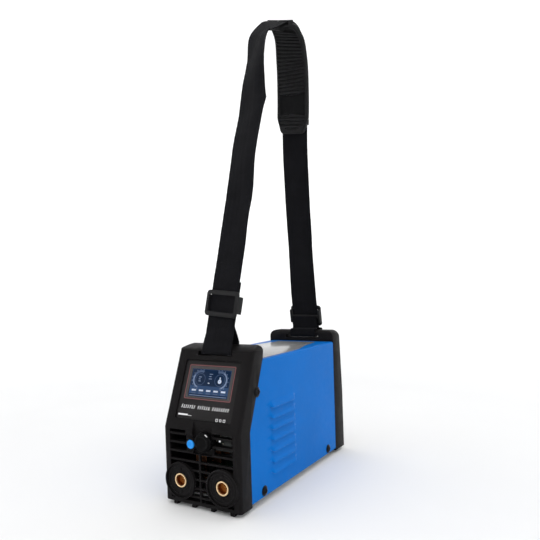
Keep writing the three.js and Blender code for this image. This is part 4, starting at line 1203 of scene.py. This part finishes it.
def make_guard():
    guard = Shape()
    seat = on_rear(*FAN_CENTRE, PANEL_BACK)
    for radius in (9.0, 18.0, 27.0, 36.0):
        guard.tube(circle(seat, radius, 1.35, 72), 0.9, closed=True)
    for turn in (45, 225, -45, 135):  # four arms, each with an eye for its screw
        arm = seat @ Matrix.Rotation(radians(turn), 4, "Z")
        points = ((3.0, 1.35), (20.0, 1.35), (36.0, 1.35), (42.0, 1.25), (46.9, 1.2))
        guard.tube([arm @ Vector((reach, 0, height)) for reach, height in points], 0.85, 10)
        eye = seat @ Matrix.Translation((*polar(GUARD_SCREWS, radians(turn)), 0))
        guard.tube(circle(eye, 3.4, 1.2, 32), 0.8, 10, closed=True)
    guard.turn([(0.02, 0.7), (5.6, 0.7), (6.0, 1.0), (6.0, 1.6), (5.6, 2.0), (0.02, 2.1)], seat, 40)
    piece("fan_guard_wires", guard, "black_steel", ["fan_guard"], limit=50)
    for number, (x, z) in enumerate(FAN_SCREWS, start=1):
        head = screw_shape(on_rear(x, z, PANEL_BACK + 2.1), 3.7, 2.2)
        piece(f"fan_screw_{number}_head", head, "black_steel", [f"fan_screw_{number}"], limit=38)


SWITCH_X, SWITCH_Z = -22.0, 128.0
SWITCH_TILT = radians(8)


def make_switch():
    seat = on_rear(SWITCH_X, SWITCH_Z, PANEL_BACK)
    housing = Shape()
    outer, inner = rounded(-15.5, 15.5, -11.5, 11.5, 1.8, 5), rounded(-9.0, 9.0, -8.5, 8.5, 0.8, 5)
    housing.skin([level(line, seat, height, inset) for line, height, inset in (
        (outer, 0.3, 0), (outer, 1.3, 0), (outer, 1.9, 0.3), (outer, 2.2, 0.9), (inner, 2.2, 0.5),
        (inner, 1.9, 0.1), (inner, 1.3, 0), (inner, -14.0, 0), (outer, -14.0, 2.2), (outer, 0.3, 2.2),
    )], closed=True)
    housing.slab(rounded(-12.9, 12.9, -9.0, 9.0, 0.8, 3), -22.0, -13.9, seat)
    piece("switch_housing", housing, "component_black", ["power_switch_housing"])

    pivot = Vector((SWITCH_X, at(PANEL_BACK - 5), SWITCH_Z))

    def rocking(x, out, up):
        """A place on the rocker, which stands tilted about its pivot."""
        return pivot + Vector((x, out * cos(SWITCH_TILT) - up * sin(SWITCH_TILT),
                               out * sin(SWITCH_TILT) + up * cos(SWITCH_TILT)))

    def face_out(up):
        """How far out the hollow face of the rocker stands."""
        return 6.4 + 2.1 * (up / 7.1) ** 2

    profile = [(-2, -2.5), (1, -6.6), (8.2, -7.45)]
    profile += [(face_out(up), up) for up in (-7.1, -5.5, -4, -2.5, -1.2, 0, 1.2, 2.5, 4, 5.5, 7.1)]
    profile += [(8.2, 7.45), (1, 6.6), (-2, 2.5)]
    rocker = Shape()
    rocker.skin([[rocking(x, 3 + (out - 3) * shrink, up * shrink) for out, up in profile] for x, shrink in (
        (-8.6, 0.93), (-8.45, 0.98), (-8.1, 1.0), (8.1, 1.0), (8.45, 0.98), (8.6, 0.93))])
    piece("switch_rocker", rocker, "rocker_red", ["power_switch_rocker"], "rocker", limit=24)

    def mark_ring(points, lift):
        return [rocking(x, face_out(up) + lift, up) for x, up in points]

    line = [(-0.3, 3.2), (0.3, 3.2), (0.3, 5.8), (-0.3, 5.8)]
    marks = Shape()
    marks.skin([mark_ring(line, -0.2), mark_ring(line, 0.05)])
    loops = []
    for radius, lift in ((1.5, -0.2), (1.5, 0.05), (1.0, 0.05), (1.0, -0.2)):
        around = (polar(radius, 2 * pi * j / 24) for j in range(24))
        loops.append(mark_ring([(x, y - 4.4) for x, y in around], lift))
    marks.skin(loops, closed=True)
    piece("switch_rocker_marks", marks, "label_white", body="rocker")


def hexagon(angle, radius, height):
    """Flats for a spanner round the gland's base."""
    if height > 4.4 or radius < 11.0:
        return 1.0
    return min(1.0, 0.9 / max(0.866, cos(angle % (pi / 3) - pi / 6)))


def flutes(angle, radius, height):
    """Grip flutes round the gland's dome."""
    if radius < 9.0:
        return 1.0
    return 1.0 - 0.035 * max(0.0, cos(14 * angle)) ** 2


def make_gland():
    seat = on_rear(24.0, 128.0, PANEL_BACK)
    base = Shape()
    base.turn([(4.6, -8.0), (7.9, -8.0), (7.9, 0.3), (11.8, 0.3), (12.4, 0.8), (12.4, 3.7), (11.6, 4.3),
               (9.0, 4.4), (4.6, 4.4)], seat, 96, hexagon, closed=True)
    piece("gland_base", base, "moulded_black", ["cable_gland"], limit=28)
    dome = Shape()
    dome.turn([(6.4, 4.5), (9.9, 4.5), (10.0, 5.0), (10.0, 7.4), (9.5, 8.4), (8.6, 9.1), (7.4, 9.45),
               (6.6, 9.4), (6.4, 9.0)], seat, 112, flutes, closed=True)
    piece("gland_dome", dome, "moulded_black", limit=28)
    seal = Shape()
    seal.turn([(4.4, 3.0), (6.2, 3.0), (6.2, 8.5), (5.8, 8.9), (4.9, 8.7), (4.4, 8.0)], seat, closed=True)
    piece("gland_seal", seal, "pad_rubber")


def make_earth_screw():
    seat = on_rear(*EARTH_PLACE, PANEL_BACK)
    screw = screw_shape(seat @ Matrix.Translation((0, 0, 0.5)), 4.0, 2.0)
    screw.turn([(2.0, 0.02), (5.0, 0.02), (5.0, 0.42), (4.8, 0.55), (2.0, 0.55)], seat, 48, closed=True)
    piece("earth_screw_head", screw, "socket_brass_earth", ["earth_screw"], limit=38)


make_fan()
make_guard()
make_switch()
make_gland()
make_earth_screw()


# ---- stage and light
FLOOR = [(0.001, 0), (2400, 0), (2900, 60), (3300, 260), (3550, 700), (3600, 2600)]  # radius and height
WALL_GLOW = (0.6, 3.4, 0.0, 0.42)  # from, to in metres; glow from, to
WORLD = 0.42
LAMPS = [  # name, place in metres, size, power in watts
    ("key", (1.5, -1.0, 1.5), (1.6, 1.2), 6),
    ("top", (0.1, 0.1, 2.4), (3.0, 3.0), 44),
    ("fill", (-1.8, -1.7, 1.0), (1.6, 1.2), 2),
]
LAMP_TARGET = (0, 0, 0.2)


def make_floor():
    floor = Shape()
    floor.skin([circle(Matrix(), radius, height - 0.3, 96) for radius, height in FLOOR], caps=False)
    mesh = bpy.data.meshes.new("floor")
    mesh.from_pydata([v * MM for v in floor.verts], [], floor.faces)
    for polygon in mesh.polygons:
        polygon.use_smooth = True
    look = Look("floor", (0.83, 0.835, 0.84), 0.8, Specular_IOR_Level=0.1)
    look.set("Base Color", look.mix(look.patches(1.7, 3.0), (0.80, 0.803, 0.806), (0.83, 0.833, 0.836)))
    distance = look.node("ShaderNodeVectorMath", {"operation": "LENGTH"}, i0=look.place).outputs["Value"]
    look.shader.inputs["Emission Color"].default_value = (1, 1, 1, 1)
    look.set("Emission Strength", look.between(distance, *WALL_GLOW))
    mesh.materials.append(look.material)
    new_object("floor", mesh)


def make_lights():
    bpy.context.scene.view_settings.view_transform = "Standard"
    world = bpy.data.worlds.new("studio")
    bpy.context.scene.world = world
    world.use_nodes = True
    background = world.node_tree.nodes["Background"]
    background.inputs["Color"].default_value = (1.0, 1.0, 1.0, 1)
    background.inputs["Strength"].default_value = WORLD
    for name, spot, size, power in LAMPS:
        data = bpy.data.lights.new(name, "AREA")
        data.shape = "RECTANGLE"
        data.size, data.size_y = size
        data.energy = power
        lamp = new_object(name, data)
        lamp.location = spot
        lamp.rotation_mode = "QUATERNION"
        lamp.rotation_quaternion = (Vector(LAMP_TARGET) - Vector(spot)).to_track_quat("-Z", "Y")


make_floor()
make_lights()
